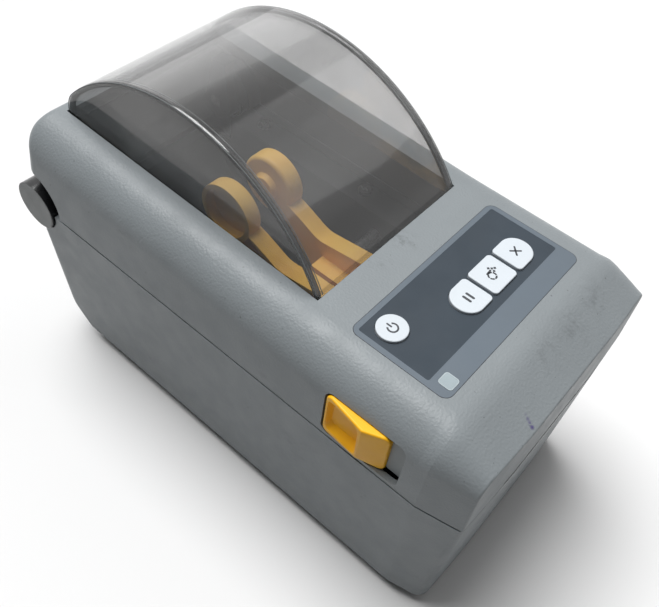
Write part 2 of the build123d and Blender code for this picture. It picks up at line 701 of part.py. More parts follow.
def board_parts():
    """Chips, capacitors and connectors on the main board."""
    top = BOARD_SEAT + BOARD_THICKNESS
    parts = [block(-8, 10, 8, 26, top, top + 1.6), block(-28, -16, 4, 14, top, top + 1.2),
             block(-28, -16, 18, 28, top, top + 1.2), block(18, 26, 30, 40, top, top + 2.2),
             block(-30, 6, -24, -17, top, top + 7.0), block(14, 30, -24, -17, top, top + 7.0)]
    for x, y in ((22, -8), (30, -8), (22, 2)):
        parts.append(rod_z(top, top + 6.0, x, y, 3.0))
    for x in range(-26, 4, 6):
        parts.append(block(x, x + 3, -10, -5, top, top + 1.0))
    return parts


def socket_board():
    """The small upright board behind the rear sockets."""
    back = SOCKET_BOARD_Y0 + BOARD_THICKNESS
    return along_y(rounded_rectangle(-43, 37, 21.6, 44.0, 1.5), SOCKET_BOARD_Y0, back)


def usb_port():
    """The square data socket with its inner tongue."""
    back = SOCKET_BOARD_Y0 + BOARD_THICKNESS
    shell = block(-USB_HALF, USB_HALF, back, SOCKET_FACE, SOCKET_Z - 5.6, SOCKET_Z + 5.6)
    shell -= block(-4.4, 4.4, SOCKET_FACE - 8.5, FAR, SOCKET_Z - 4.2, SOCKET_Z + 4.0)
    return shell + block(-2.8, 2.8, SOCKET_FACE - 9, SOCKET_FACE - 1.5, SOCKET_Z - 1.6,
                         SOCKET_Z + 1.6)


def power_inlet():
    """The round power socket with its centre pin."""
    back = SOCKET_BOARD_Y0 + BOARD_THICKNESS
    body = block(INLET_X - 5.5, INLET_X + 5.5, back, 99.0, SOCKET_Z - 5.5, SOCKET_Z + 5.5)
    body += rod_y(98, SOCKET_FACE, INLET_X, SOCKET_Z, INLET_RADIUS)
    body -= rod_y(SOCKET_FACE - 9.5, FAR, INLET_X, SOCKET_Z, INLET_BORE)
    return body + rod_y(SOCKET_FACE - 10, SOCKET_FACE - 1.5, INLET_X, SOCKET_Z, 1.0)


def option_blank():
    """The snap-in blank that closes the rear opening for an option board."""
    cover = block(BLANK_X0 + SLIP, BLANK_X1 - SLIP, 99.0, 102.8, SOCKET_Z - 6 + SLIP,
                  SOCKET_Z + 6 - SLIP)
    return cover + block(BLANK_X0 - 1, BLANK_X1 + 1, 98.0, 99.8, SOCKET_Z - 5.8, SOCKET_Z + 5.8)


# The roll holders

def arm_outline(inset):
    """Side outline of a holder's arm and carriage, drawn in by inset."""
    return outline([(-25.6 + inset, CARRIAGE_Z0 + inset, 1.0),
                    (3.0 - inset, CARRIAGE_Z0 + inset, 1.0),
                    (13.0 - inset, 68.0 + inset / 2, 6.0),
                    (30.0 - inset, 77.6 + inset, 0),
                    (27.0 - inset, 88.0, 0),
                    (17.5, 84.6 - inset, 4.0),
                    (5.5, 79.2 - inset, 12.0),
                    (-28.6 + inset, 84.0 - inset, 3.0),
                    (-28.6 + inset, 72.0, 3.0)])


def right_holder():
    """The right roll holder: a hollow drum on an arm, with its carriage on the two rails."""
    holder = rod_x(HOLDER_INNER, HOLDER_OUTER, ROLL_Y, HOLDER_DRUM_Z, HOLDER_DRUM_RADIUS)
    rim = [edge for edge in holder.edges().filter_by(GeomType.CIRCLE)
           if edge.center().X < HOLDER_INNER + 0.1]
    holder = fillet(rim, 1.8)
    holder += along_x(arm_outline(0), HOLDER_INNER, HOLDER_OUTER)
    hub = Pos(HOLDER_INNER - 1.0, ROLL_Y, HOLDER_DRUM_Z) * Rot(0, 90, 0)
    holder += hub * Cone(4.8, 6.2, 2.4)
    web = HOLDER_INNER + HOLDER_WEB
    holder -= rod_x(web, 30, ROLL_Y, HOLDER_DRUM_Z, HOLDER_DRUM_RADIUS - HOLDER_RIM)
    hollow = along_x(arm_outline(HOLDER_RIM), web, 30)
    hollow -= block(0, 40, -60, 60, 0, CARRIAGE_Z1 + 1.5)
    hollow -= rod_x(0, 40, ROLL_Y, HOLDER_DRUM_Z, HOLDER_DRUM_RADIUS)
    holder -= hollow
    holder += block(CARRIAGE_INNER, CARRIAGE_OUTER, -25.6, 2.4, CARRIAGE_Z0, CARRIAGE_Z1)
    for y in RAIL_YS:
        holder -= rod_x(-60, 60, y, RAIL_Z, RAIL_RADIUS + RUNNING)
    return holder


def spring_channel(holder):
    """A holder with the hole that the closing spring runs through."""
    return holder - rod_x(-60, 60, PINION_Y, SPRING_Z, SPRING_RADIUS + 0.9)


def racks():
    """The left and right holders' racks, on the two sides of the pinion."""
    reach = gear_radius(PINION_TEETH, PINION_MODULE)
    left = along_z(rack_outline(-CARRIAGE_OUTER, RACK_REACH, PINION_Y - reach, 1),
                   RACK_Z0, RACK_Z1)
    right = along_z(rack_outline(-RACK_REACH, CARRIAGE_OUTER, PINION_Y + reach, -1),
                    RACK_Z0, RACK_Z1)
    seat_depth = DEDENDUM * PINION_MODULE
    front = PINION_Y - reach - seat_depth
    rear = PINION_Y + reach + seat_depth
    left += block(-CARRIAGE_OUTER, -CARRIAGE_INNER, front - RACK_BACK, front, RACK_Z1 - 0.5,
                  CARRIAGE_Z0)
    right += block(CARRIAGE_INNER, CARRIAGE_OUTER, rear, rear + RACK_BACK, RACK_Z1 - 0.5,
                   CARRIAGE_Z0)
    return left, right


def holder_pinion():
    """The pinion that makes the two holders open and close together."""
    gear = along_z(gear_outline(PINION_TEETH, PINION_MODULE, (0, PINION_Y),
                                180 / PINION_TEETH + 90), RACK_Z0 - 0.4, RACK_Z1 - 0.4)
    return gear - rod_z(0, 90, 0, PINION_Y, PINION_STUD_RADIUS + RUNNING)


def holder_rails():
    """Two steel rails across the bay."""
    edge = BAY_HALF + TROUGH_WALL
    return [rod_x(-edge, edge, y, RAIL_Z, RAIL_RADIUS) for y in RAIL_YS]


def holder_spring():
    """The long spring from the right wall to the left carriage that closes the holders."""
    coil = coil_spring(SPRING_RADIUS, SPRING_WIRE, BAY_HALF + CARRIAGE_INNER, 18)
    return Pos(-CARRIAGE_INNER, PINION_Y, SPRING_Z) * Rot(0, 90, 0) * coil


# The cover

def key_outline(name, grow):
    """Plan outline of a control key, grown by a distance."""
    rear = KEY_REAR + grow
    front = KEY_FRONT - grow
    small = KEY_CORNER + grow
    large = KEY_ROUND + grow
    if name == "power":
        return Pos(POWER_KEY_X, POWER_KEY_Y) * Circle(POWER_KEY_RADIUS + grow)
    if name == "pause":
        x0, x1 = PAUSE_KEY
        return outline([(x0 - grow, front, large), (x1 + grow, front, small),
                        (x1 + grow, rear, small), (x0 - grow, rear, large)])
    if name == "cancel":
        x0, x1 = CANCEL_KEY
        return outline([(x0 - grow, front, small), (x1 + grow, front, large),
                        (x1 + grow, rear, large), (x0 - grow, rear, small)])
    x0, x1 = FEED_KEY
    return rounded_rectangle(x0 - grow, x1 + grow, front, rear, small)


def key_cap(name):
    """A key: its cap stands a little above the panel, and a flange holds it under the cover."""
    cap = along_z(key_outline(name, 0), KEY_BOTTOM, DECK_TOP + KEY_PROUD)
    top_edges = [edge for edge in cap.edges()
                 if edge.bounding_box().min.Z > DECK_TOP + KEY_PROUD - 0.01]
    cap = fillet(top_edges, 0.35)
    return cap + along_z(key_outline(name, KEY_FLANGE - 0.35), KEY_BOTTOM, KEY_BOTTOM + 1.0)


def latch_opening():
    """The opening in the right side wall that the latch grip works in."""
    sketch = rounded_rectangle(LATCH_OPENING_FRONT, LATCH_REAR + 0.8, LATCH_LOW - 0.5,
                               LATCH_HIGH + 0.5, LATCH_CORNER + 0.4)
    return along_x(sketch, 48, 70)


def knuckle(inner_form):
    """The right hinge knuckle of the cover, webbed up into the back wall."""
    lug = rod_x(KNUCKLE_INNER, KNUCKLE_OUTER, HINGE_Y, HINGE_Z, KNUCKLE_RADIUS)
    web = outline([(HINGE_Y - KNUCKLE_RADIUS, HINGE_Z, 0), (107.0, HINGE_Z, 0),
                   (107.0, 100, 0), (HINGE_Y - KNUCKLE_RADIUS + 3, 100, 0)])
    lug += along_x(web, KNUCKLE_INNER, KNUCKLE_OUTER) & inner_form
    return lug - rod_x(40, 52, HINGE_Y, HINGE_Z, HINGE_PIN_RADIUS + RUNNING)


def hinge_skirt():
    """The curved skirt on the back that stays round the hinge line as the cover turns."""
    half = KNUCKLE_OUTER
    ring = rod_x(-half, half, HINGE_Y, HINGE_Z, SKIRT_RADIUS)
    ring -= rod_x(-FAR, FAR, HINGE_Y, HINGE_Z, SKIRT_RADIUS - 1.9)
    reach = 30.0
    wedge = outline([(HINGE_Y, HINGE_Z, 0), (HINGE_Y + reach * 0.18, HINGE_Z - reach, 0),
                     (HINGE_Y + reach, HINGE_Z - reach, 0),
                     (HINGE_Y + reach, HINGE_Z + reach * 0.75, 0)])
    return ring & along_x(wedge, -half, half)


def top_cover():
    """The upper casing: top deck, shoulders, nose and the hinge knuckles at the back."""
    form = cover_form(0, COVER_BOTTOM)
    rear_edges = [edge for edge in form.edges()
                  if edge.bounding_box().min.Y > 94 and edge.bounding_box().min.Z > 100]
    form = fillet(rear_edges, 4.0)
    front_edges = [edge for edge in form.edges()
                   if edge.bounding_box().max.Y < NOSE_END + 1.5
                   and edge.bounding_box().max.Z > COVER_BOTTOM + 1]
    form = fillet(front_edges, 0.9)
    cavity = cover_form(WALL, COVER_BOTTOM - 1)
    shell = form - cavity
    # A round cup closes the cover about each barrel, and the barrel's space is cut out of it
    wall = rod_x(KNUCKLE_OUTER - 1.9, HALF_WIDTH, NOTCH_Y, NOTCH_Z, NOTCH_RADIUS + 2)
    wall = wall & cover_form(0.5, COVER_BOTTOM)
    notch = rod_x(KNUCKLE_OUTER, 80, NOTCH_Y, NOTCH_Z, NOTCH_RADIUS)
    lug = knuckle(cover_form(0.5, HINGE_Z - 1))
    for piece in (wall, lug):
        shell += piece
        shell += mirrored(piece)
    for piece in both_sides(notch):
        shell -= piece
    for pin_way in both_sides(rod_x(40, 52, HINGE_Y, HINGE_Z, HINGE_PIN_RADIUS + RUNNING)):
        shell -= pin_way
    shell += hinge_skirt()
    shell -= block(-WINDOW_HALF_FOOT - SLIP, WINDOW_HALF_FOOT + SLIP, WINDOW_FRONT - SLIP,
                   WINDOW_REAR + SLIP, 100, FAR)
    recess = rounded_rectangle(-PANEL_HALF, PANEL_HALF, PANEL_FRONT, PANEL_REAR, PANEL_CORNER)
    shell -= along_z(recess, DECK_TOP - PANEL_DEPTH, FAR)
    for name in KEYS:
        shell -= along_z(key_outline(name, SLIP), 105, FAR)
    for opening in both_sides(latch_opening()):
        shell -= opening
    shell -= block(-SLOT_HALF, SLOT_HALF, -FAR, -104, COVER_BOTTOM - 1, SLOT_TOP)
    for x, y in PANEL_SCREWS:
        shell += rod_z(BOARD_Z1, DECK_TOP - WALL + 0.2, x, y, 2.2)
        shell -= rod_z(BOARD_Z1 - 1, BOARD_Z1 + 3, x, y, SCREW_RADIUS * 0.7)
    return shell


def window_outline(inset):
    """Side outline of the window: a long arc that turns down at its rear heel."""
    front = WINDOW_FRONT + inset
    rear = WINDOW_REAR - inset
    radius = WINDOW_ARC_RADIUS - inset
    heel = WINDOW_HEEL_RADIUS - inset
    foot_z = DECK_TOP - 8
    start_z = WINDOW_ARC_Z + math.sqrt(radius ** 2 - (WINDOW_ARC_Y - front) ** 2)
    heel_y = rear - heel
    heel_z = WINDOW_ARC_Z + math.sqrt((radius - heel) ** 2 - (heel_y - WINDOW_ARC_Y) ** 2)
    lean = math.atan2(heel_z - WINDOW_ARC_Z, heel_y - WINDOW_ARC_Y)
    joint = (WINDOW_ARC_Y + radius * math.cos(lean), WINDOW_ARC_Z + radius * math.sin(lean))
    crown = (WINDOW_ARC_Y, WINDOW_ARC_Z + radius)
    bend = (heel_y + heel * math.cos(lean / 2), heel_z + heel * math.sin(lean / 2))
    return make_face([Line((front, foot_z), (front, start_z)),
                      ThreePointArc((front, start_z), crown, joint),
                      ThreePointArc(joint, bend, (rear, heel_z)),
                      Line((rear, heel_z), (rear, foot_z)),
                      Line((rear, foot_z), (front, foot_z))])


def window_form(inset):
    """The window's solid form: the side outline between two slightly drafted side faces."""
    crown = WINDOW_ARC_Z + WINDOW_ARC_RADIUS + 2
    low = DECK_TOP - 10
    foot = WINDOW_HALF_FOOT - inset + WINDOW_DRAFT * (DECK_TOP - low)
    head = WINDOW_HALF_FOOT - inset - WINDOW_DRAFT * (crown - DECK_TOP)
    walls = outline([(foot, low, 0), (head, crown, 0), (-head, crown, 0), (-foot, low, 0)])
    return along_x(window_outline(inset), -60, 60) & along_y(walls, -FAR, FAR)


def window():
    """The smoked see-through hood over the roll, with its flange under the deck."""
    form = window_form(0)
    rims = [edge for edge in form.edges().filter_by(GeomType.BSPLINE, reverse=False)]
    rims += [edge for edge in form.edges().filter_by(GeomType.ELLIPSE)]
    form = fillet(rims, 1.2)
    below = WALL + WINDOW_FLANGE
    hood = form - window_form(WINDOW_WALL) - deck_slab(60, -60, FAR, WALL, 20)
    flange = deck_slab(WINDOW_HALF_FOOT + 2.4, WINDOW_FRONT - 2.4, WINDOW_REAR + 2.2, WALL, below)
    return hood + (flange - window_form(WINDOW_WALL))


def control_panel():
    """The panel's frame: a thin rounded plate with a shallow bed for the inlay."""
    rim = 0.2
    plate = along_z(rounded_rectangle(-PANEL_HALF + rim, PANEL_HALF - rim, PANEL_FRONT + rim,
                                      PANEL_REAR - rim, PANEL_CORNER - rim),
                    DECK_TOP - PANEL_DEPTH, DECK_TOP + 0.05)
    bed = rounded_rectangle(-INLAY_HALF, INLAY_HALF, INLAY_FRONT, INLAY_REAR, 0.8)
    plate -= along_z(bed, DECK_TOP - INLAY_DEPTH, FAR)
    plate -= along_z(tile_outline(0), DECK_TOP - INLAY_DEPTH, FAR)
    for name in KEYS:
        plate -= along_z(key_outline(name, SLIP), 105, FAR)
    return plate


def tile_outline(grow):
    """Outline of the small pale tile in the panel's front strip."""
    half = TILE_SIZE / 2 + grow
    return rounded_rectangle(TILE_X - half, TILE_X + half, TILE_Y - half, TILE_Y + half,
                             1.2 + grow)


def panel_inlay():
    """The dark sheet round the keys."""
    sheet = along_z(rounded_rectangle(-INLAY_HALF, INLAY_HALF, INLAY_FRONT, INLAY_REAR, 0.8),
                    DECK_TOP - INLAY_DEPTH, DECK_TOP)
    for name in KEYS:
        sheet -= along_z(key_outline(name, SLIP), 105, FAR)
    return sheet


def panel_tile():
    """The small pale tile."""
    return along_z(tile_outline(-0.05), DECK_TOP - INLAY_DEPTH, DECK_TOP + 0.1)


def panel_board():
    """The keys' circuit board, hung under the deck."""
    board = along_z(rounded_rectangle(-39.5, 39.5, -82, -50, 2.0), BOARD_Z0, BOARD_Z1)
    for x, y in PANEL_SCREWS:
        board -= rod_z(100, 120, x, y, SCREW_RADIUS * 0.7 + 0.1)
    return board


def key_switches():
    """Four low dome switches under the keys."""
    middle = (KEY_REAR + KEY_FRONT) / 2
    spots = [(POWER_KEY_X, POWER_KEY_Y)]
    spots += [((x0 + x1) / 2, middle) for x0, x1 in (PAUSE_KEY, FEED_KEY, CANCEL_KEY)]
    gap = KEY_BOTTOM - KEY_TRAVEL - 0.2
    return [rod_z(BOARD_Z1, gap, x, y, 2.5) for x, y in spots]


def panel_screws():
    """The screws that hold the keys' board."""
    size = 0.7
    return [Pos(x, y, BOARD_Z0) * Rot(180, 0, 0) * screw(0, 0, 0, 4.2, size)
            for x, y in PANEL_SCREWS]


def head_frame():
    """The black frame under the deck that carries the printhead and backs the latch springs."""
    frame = along_z(rounded_rectangle(-FRAME_HALF, FRAME_HALF, -100, -38, 4.0), FRAME_Z0, FRAME_Z1)
    cheek = along_x(outline([(HEAD_PIVOT_Y - 8, FRAME_Z0 + 1, 0), (HEAD_PIVOT_Y - 5, 85, 4.0),
                             (HEAD_PIVOT_Y + 5, 85, 4.0), (HEAD_PIVOT_Y + 8, FRAME_Z0 + 1, 0)]),
                    38.5, 41.5)
    arm = block(44, 54, -42.4, -40.4, 92, FRAME_Z1)
    for piece in (cheek, arm):
        frame += piece
        frame += mirrored(piece)
    inner = cover_form(WALL + 0.02, COVER_BOTTOM)
    for x in (-43.0, 43.0):
        for y in (-89.0, -44.0):
            frame += rod_z(FRAME_Z1 - 1, 115, x, y, 3.0) & inner
    frame -= rod_x(-60, 60, HEAD_PIVOT_Y, HEAD_PIVOT_Z, HEAD_PIN_RADIUS + RUNNING)
    for x in (-26.0, 0.0, 26.0):
        frame -= block(x - 8, x + 8, -60, -46, FRAME_Z0 - 1, FRAME_Z1 + 1)
    return frame


def upper_sensor():
    """The label sensor's upper half, hung from the frame."""
    return block(-7, 7, SENSOR_Y + 4, SENSOR_Y + 14, 84, FRAME_Z0) - block(
        -5, 5, SENSOR_Y + 6, SENSOR_Y + 12, 83, 86)


# The printhead

def head_body():
    """The printhead's finned aluminium body, with the arms back to its pivot rod."""
    strip_top = PLATEN_Z + PLATEN_RADIUS + HEAD_GAP + 2.2
    body = along_x(outline([(-103.0, strip_top, 0), (-88.0, strip_top, 0), (-78.0, 85.0, 4.0),
                            (-62.5, 85.6, 3.0), (-62.5, 94.4, 3.0), (-74.0, 94.4, 3.0),
                            (-80.0, 88.6, 3.0), (-103.0, 88.6, 0)]), -HEAD_HALF, HEAD_HALF)
    for fin in range(5):
        y = -101.5 + fin * 4.2
        body -= block(-HEAD_HALF + 3, HEAD_HALF - 3, y, y + 2.0, 85.6, 95)
    for x in (-18.0, 18.0):
        body += rod_z(85, 88.6, x, -93.0, 4.6)
    return body - rod_x(-60, 60, HEAD_PIVOT_Y, HEAD_PIVOT_Z, HEAD_PIN_RADIUS)


def head_pivot_rod():
    """The steel rod that the printhead tips on."""
    return rod_x(-41.5, 41.5, HEAD_PIVOT_Y, HEAD_PIVOT_Z, HEAD_PIN_RADIUS)


def head_strip():
    """The ceramic strip with its raised heater line over the platen."""
    under = PLATEN_Z + PLATEN_RADIUS + HEAD_GAP
    strip = block(-HEAD_HALF + 0.5, HEAD_HALF - 0.5, -102.4, -91.0, under + 0.2, under + 2.2)
    return strip + block(-HEAD_HALF + 1, HEAD_HALF - 1, PLATEN_Y - 0.6, PLATEN_Y + 0.6, under,
                         under + 0.3)


def head_connector():
    """The printhead's cable socket."""
    top = PLATEN_Z + PLATEN_RADIUS + HEAD_GAP + 2.2
    return block(-12, 12, -90.6, -88.4, top - 2.4, top)


def head_springs():
    """Two coil springs that press the printhead down on the platen."""
    length = FRAME_Z0 - 88.6
    return [Pos(x, -93.0, 88.6) * coil_spring(2.6, 0.7, length, 5) for x in (-18.0, 18.0)]


# The release latch

def latch_grip():
    """The right yellow grip: a rounded wedge with a ridge and a finger pocket behind it."""
    inner = LATCH_PLATE_OUTER
    flush = HALF_WIDTH
    faces = []
    for height, ridge, front in ((LATCH_LOW, LATCH_RIDGE_LOW, LATCH_FRONT_LOW),
                                 (LATCH_HIGH, LATCH_RIDGE_HIGH, LATCH_FRONT_HIGH)):
        corners = [(inner, LATCH_REAR), (flush, LATCH_REAR), ridge, (front, LATCH_FRONT),
                   (inner, LATCH_FRONT)]
        faces.append(Plane.XY.offset(height) * outline([(x, y, 0) for x, y in corners]))
    grip = loft(faces, ruled=True)
    side = rounded_rectangle(LATCH_FRONT, LATCH_REAR, LATCH_LOW, LATCH_HIGH, LATCH_CORNER)
    grip = grip & along_x(side, inner, 70)
    outer_edges = [edge for edge in grip.edges() if edge.bounding_box().min.X > inner + 2]
    grip = fillet(outer_edges, 0.7)
    floor = rounded_rectangle(-66.9, -54.9, 85.6, 99.6, 2.0)
    mouth = rounded_rectangle(-68.0, -50.9, 78.6, 101.6, 3.0)
    pocket = loft([Plane.YZ.offset(POCKET_FLOOR) * floor, Plane.YZ.offset(POCKET_MOUTH) * mouth],
                  ruled=True)
    return grip - pocket


def latch_plate():
    """The right side plate of the latch, with its hook beside the pin and its dust shield."""
    plate = outline([(-89.0, 83.2, 1.5), (-76.0, 83.2, 2.0), (-75.0, 66.4, 1.0),
                     (-68.6, 66.4, 0), (-68.6, 68.6, 0), (-70.6, 69.4, 0.5), (-71.0, 84.0, 3.0),
                     (-50.0, 84.0, 1.5), (-50.0, 104.2, 1.5), (-89.0, 102.0, 1.5)])
    shield = rounded_rectangle(-86.4, LATCH_FRONT - 0.1, 83.2, 99.4, 0.8)
    return along_x(plate, LATCH_PLATE_INNER, LATCH_PLATE_OUTER) + along_x(
        shield, LATCH_PLATE_OUTER - 1, LATCH_SHIELD_OUTER)


def latch_frame():
    """Both side plates of the latch, joined by the bar that makes the grips move as one."""
    plate = latch_plate()
    bar = rod_x(-LATCH_PLATE_INNER - 0.5, LATCH_PLATE_INNER + 0.5, LATCH_BAR_Y, LATCH_BAR_Z,
                LATCH_BAR_RADIUS)
    return plate + mirrored(plate) + bar


def latch_springs():
    """Two coil springs that push the latch back to rest."""
    rear = -42.4
    front = -50.0
    x = (LATCH_PLATE_INNER + LATCH_PLATE_OUTER) / 2
    coil = Pos(x, front, 95.0) * Rot(-90, 0, 0) * coil_spring(1.7, 0.5, rear - front, 5)
    return both_sides(coil)


def catch_pins():
    """The steel pins in the base that the latch hooks hold."""
    return both_sides(rod_x(48.7, 54.4, CATCH_PIN_Y, CATCH_PIN_Z, CATCH_PIN_RADIUS))


def hinge_pins():
    """The two steel pins of the cover's hinge."""
    return both_sides(rod_x(HINGE_PIN_INNER, HINGE_PIN_OUTER, HINGE_Y, HINGE_Z,
                            HINGE_PIN_RADIUS))


def all_nodes():
    """Every named piece of the printer."""
    left_rack, right_rack = racks()
    holder = right_holder()
    grip = latch_grip()
    nodes = {
        "base_housing": base_housing(),
        "front_lip": front_lip(),
        "tear_bar": tear_bar(),
        "rubber_feet": rubber_feet(),
        "media_bay": media_bay(),
        "print_deck": print_deck(),
        "platen_bushings": platen_bushings(),
        "gear_plate": gear_plate(),
        "drive_motor": drive_motor(),
        "main_board": main_board(),
        "board_parts": board_parts(),
        "socket_board": socket_board(),
        "usb_port": usb_port(),
        "power_inlet": power_inlet(),
        "option_blank": option_blank(),
        "hinge_barrels": hinge_barrels(),
        "hinge_caps": hinge_caps(),
        "hinge_liners": hinge_liners(),
        "hinge_pins": hinge_pins(),
        "catch_pins": catch_pins(),
        "holder_rails": holder_rails(),
        "holder_spring": holder_spring(),
        "board_screws": [screw(x, y, BOARD_SEAT + BOARD_THICKNESS, 4.0) for x, y in BOARD_SCREWS],
        "deck_screws": [screw(x, y, DECK_Z1, 8.0) for x, y in DECK_SCREWS + BAY_SCREWS],
        "platen_shaft": platen_shaft(),
        "platen_roller": platen_roller(),
        "platen_gear": platen_gear(),
        "idler_gear": idler_gear(),
        "motor_pinion": motor_pinion(),
        "sensor_slider": sensor_slider(),
        "holder_right": spring_channel(holder),
        "holder_left": mirrored(holder),
        "rack_left": left_rack,
        "rack_right": right_rack,
        "holder_pinion": holder_pinion(),
        "top_cover": top_cover(),
        "window": window(),
        "control_panel": control_panel(),
        "panel_inlay": panel_inlay(),
        "panel_tile": panel_tile(),
        "panel_board": panel_board(),
        "key_switches": key_switches(),
        "panel_screws": panel_screws(),
        "head_frame": head_frame(),
        "upper_sensor": upper_sensor(),
        "head_springs": head_springs(),
        "head_body": head_body(),
        "head_pivot_rod": head_pivot_rod(),
        "head_strip": head_strip(),
        "head_connector": head_connector(),
        "latch_frame": latch_frame(),
        "latch_grip_right": grip,
        "latch_grip_left": mirrored(grip),
        "latch_springs": latch_springs(),
    }
    for name in KEYS:
        nodes[f"{name}_key"] = key_cap(name)
    return nodes


def write(nodes):
    """Write one STEP file for each named piece."""
    os.makedirs("parts", exist_ok=True)
    for name, shape in nodes.items():
        pieces = shape if isinstance(shape, list) else [shape]
        solids = [solid for piece in pieces for solid in piece.solids()]
        export_step(Compound(label=name, children=solids), f"parts/{name}.step")


write(all_nodes())
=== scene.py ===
"""Dresses the label printer: finishes, printed signs, trims, camera, lamps and floor."""

from __future__ import annotations

import json
import logging
import math
from dataclasses import dataclass
from enum import Enum
from typing import Any, Iterable, Sequence

import bmesh
import bpy
from mathutils import Matrix, Vector

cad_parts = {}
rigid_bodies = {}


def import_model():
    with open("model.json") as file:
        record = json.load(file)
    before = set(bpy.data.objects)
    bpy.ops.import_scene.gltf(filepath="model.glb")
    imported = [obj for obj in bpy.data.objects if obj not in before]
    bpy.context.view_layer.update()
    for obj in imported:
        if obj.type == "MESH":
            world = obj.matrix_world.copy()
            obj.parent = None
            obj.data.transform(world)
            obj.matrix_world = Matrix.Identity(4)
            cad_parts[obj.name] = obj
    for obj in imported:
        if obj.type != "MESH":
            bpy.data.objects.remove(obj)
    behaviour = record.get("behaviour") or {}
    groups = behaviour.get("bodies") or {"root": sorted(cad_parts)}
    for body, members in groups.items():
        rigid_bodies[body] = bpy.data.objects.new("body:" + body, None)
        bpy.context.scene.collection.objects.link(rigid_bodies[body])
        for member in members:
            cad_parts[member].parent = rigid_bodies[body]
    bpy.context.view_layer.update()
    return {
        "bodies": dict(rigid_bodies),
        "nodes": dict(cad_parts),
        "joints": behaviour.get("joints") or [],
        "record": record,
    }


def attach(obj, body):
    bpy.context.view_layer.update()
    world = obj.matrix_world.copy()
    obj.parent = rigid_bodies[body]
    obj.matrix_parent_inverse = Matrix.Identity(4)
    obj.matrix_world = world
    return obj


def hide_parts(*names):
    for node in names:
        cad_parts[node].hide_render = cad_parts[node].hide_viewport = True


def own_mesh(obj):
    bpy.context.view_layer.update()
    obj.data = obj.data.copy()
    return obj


log = logging.getLogger("label_printer")

MM = 0.001
PHOTO_WIDTH = 659.0
PHOTO_HEIGHT = 607.0
DECK_TOP = 113.9
KEY_PROUD = 1.0
ARC_STEPS = 24
CORNER_STEPS = 6
MIX_FACTOR, MIX_FIRST, MIX_SECOND, MIX_RESULT = 0, 6, 7, 2

Point = tuple[float, float]
Triple = tuple[float, float, float]
Linear = tuple[float, float, float, float]
Socket = Any


def srgb(red: float, green: float, blue: float) -> Linear:
    """Turn an 8-bit screen colour into the linear colour that shaders use.

    Args:
        red: Red from 0 to 255.
        green: Green from 0 to 255.
        blue: Blue from 0 to 255.

    Returns:
        The linear colour with full opacity.
    """
    channels = []
    for value in (red, green, blue):
        part = value / 255
        channels.append(part / 12.92 if part <= 0.04045 else ((part + 0.055) / 1.055) ** 2.4)
    return channels[0], channels[1], channels[2], 1.0


def scaled(colour: Triple, factor: float, lift: float = 0.0) -> Linear:
    """Lighten or darken an 8-bit screen colour.

    Args:
        colour: The screen colour.
        factor: What each channel is multiplied by.
        lift: What is added to each channel.

    Returns:
        The linear colour.
    """
    return srgb(*(min(255.0, part * factor + lift) for part in colour))


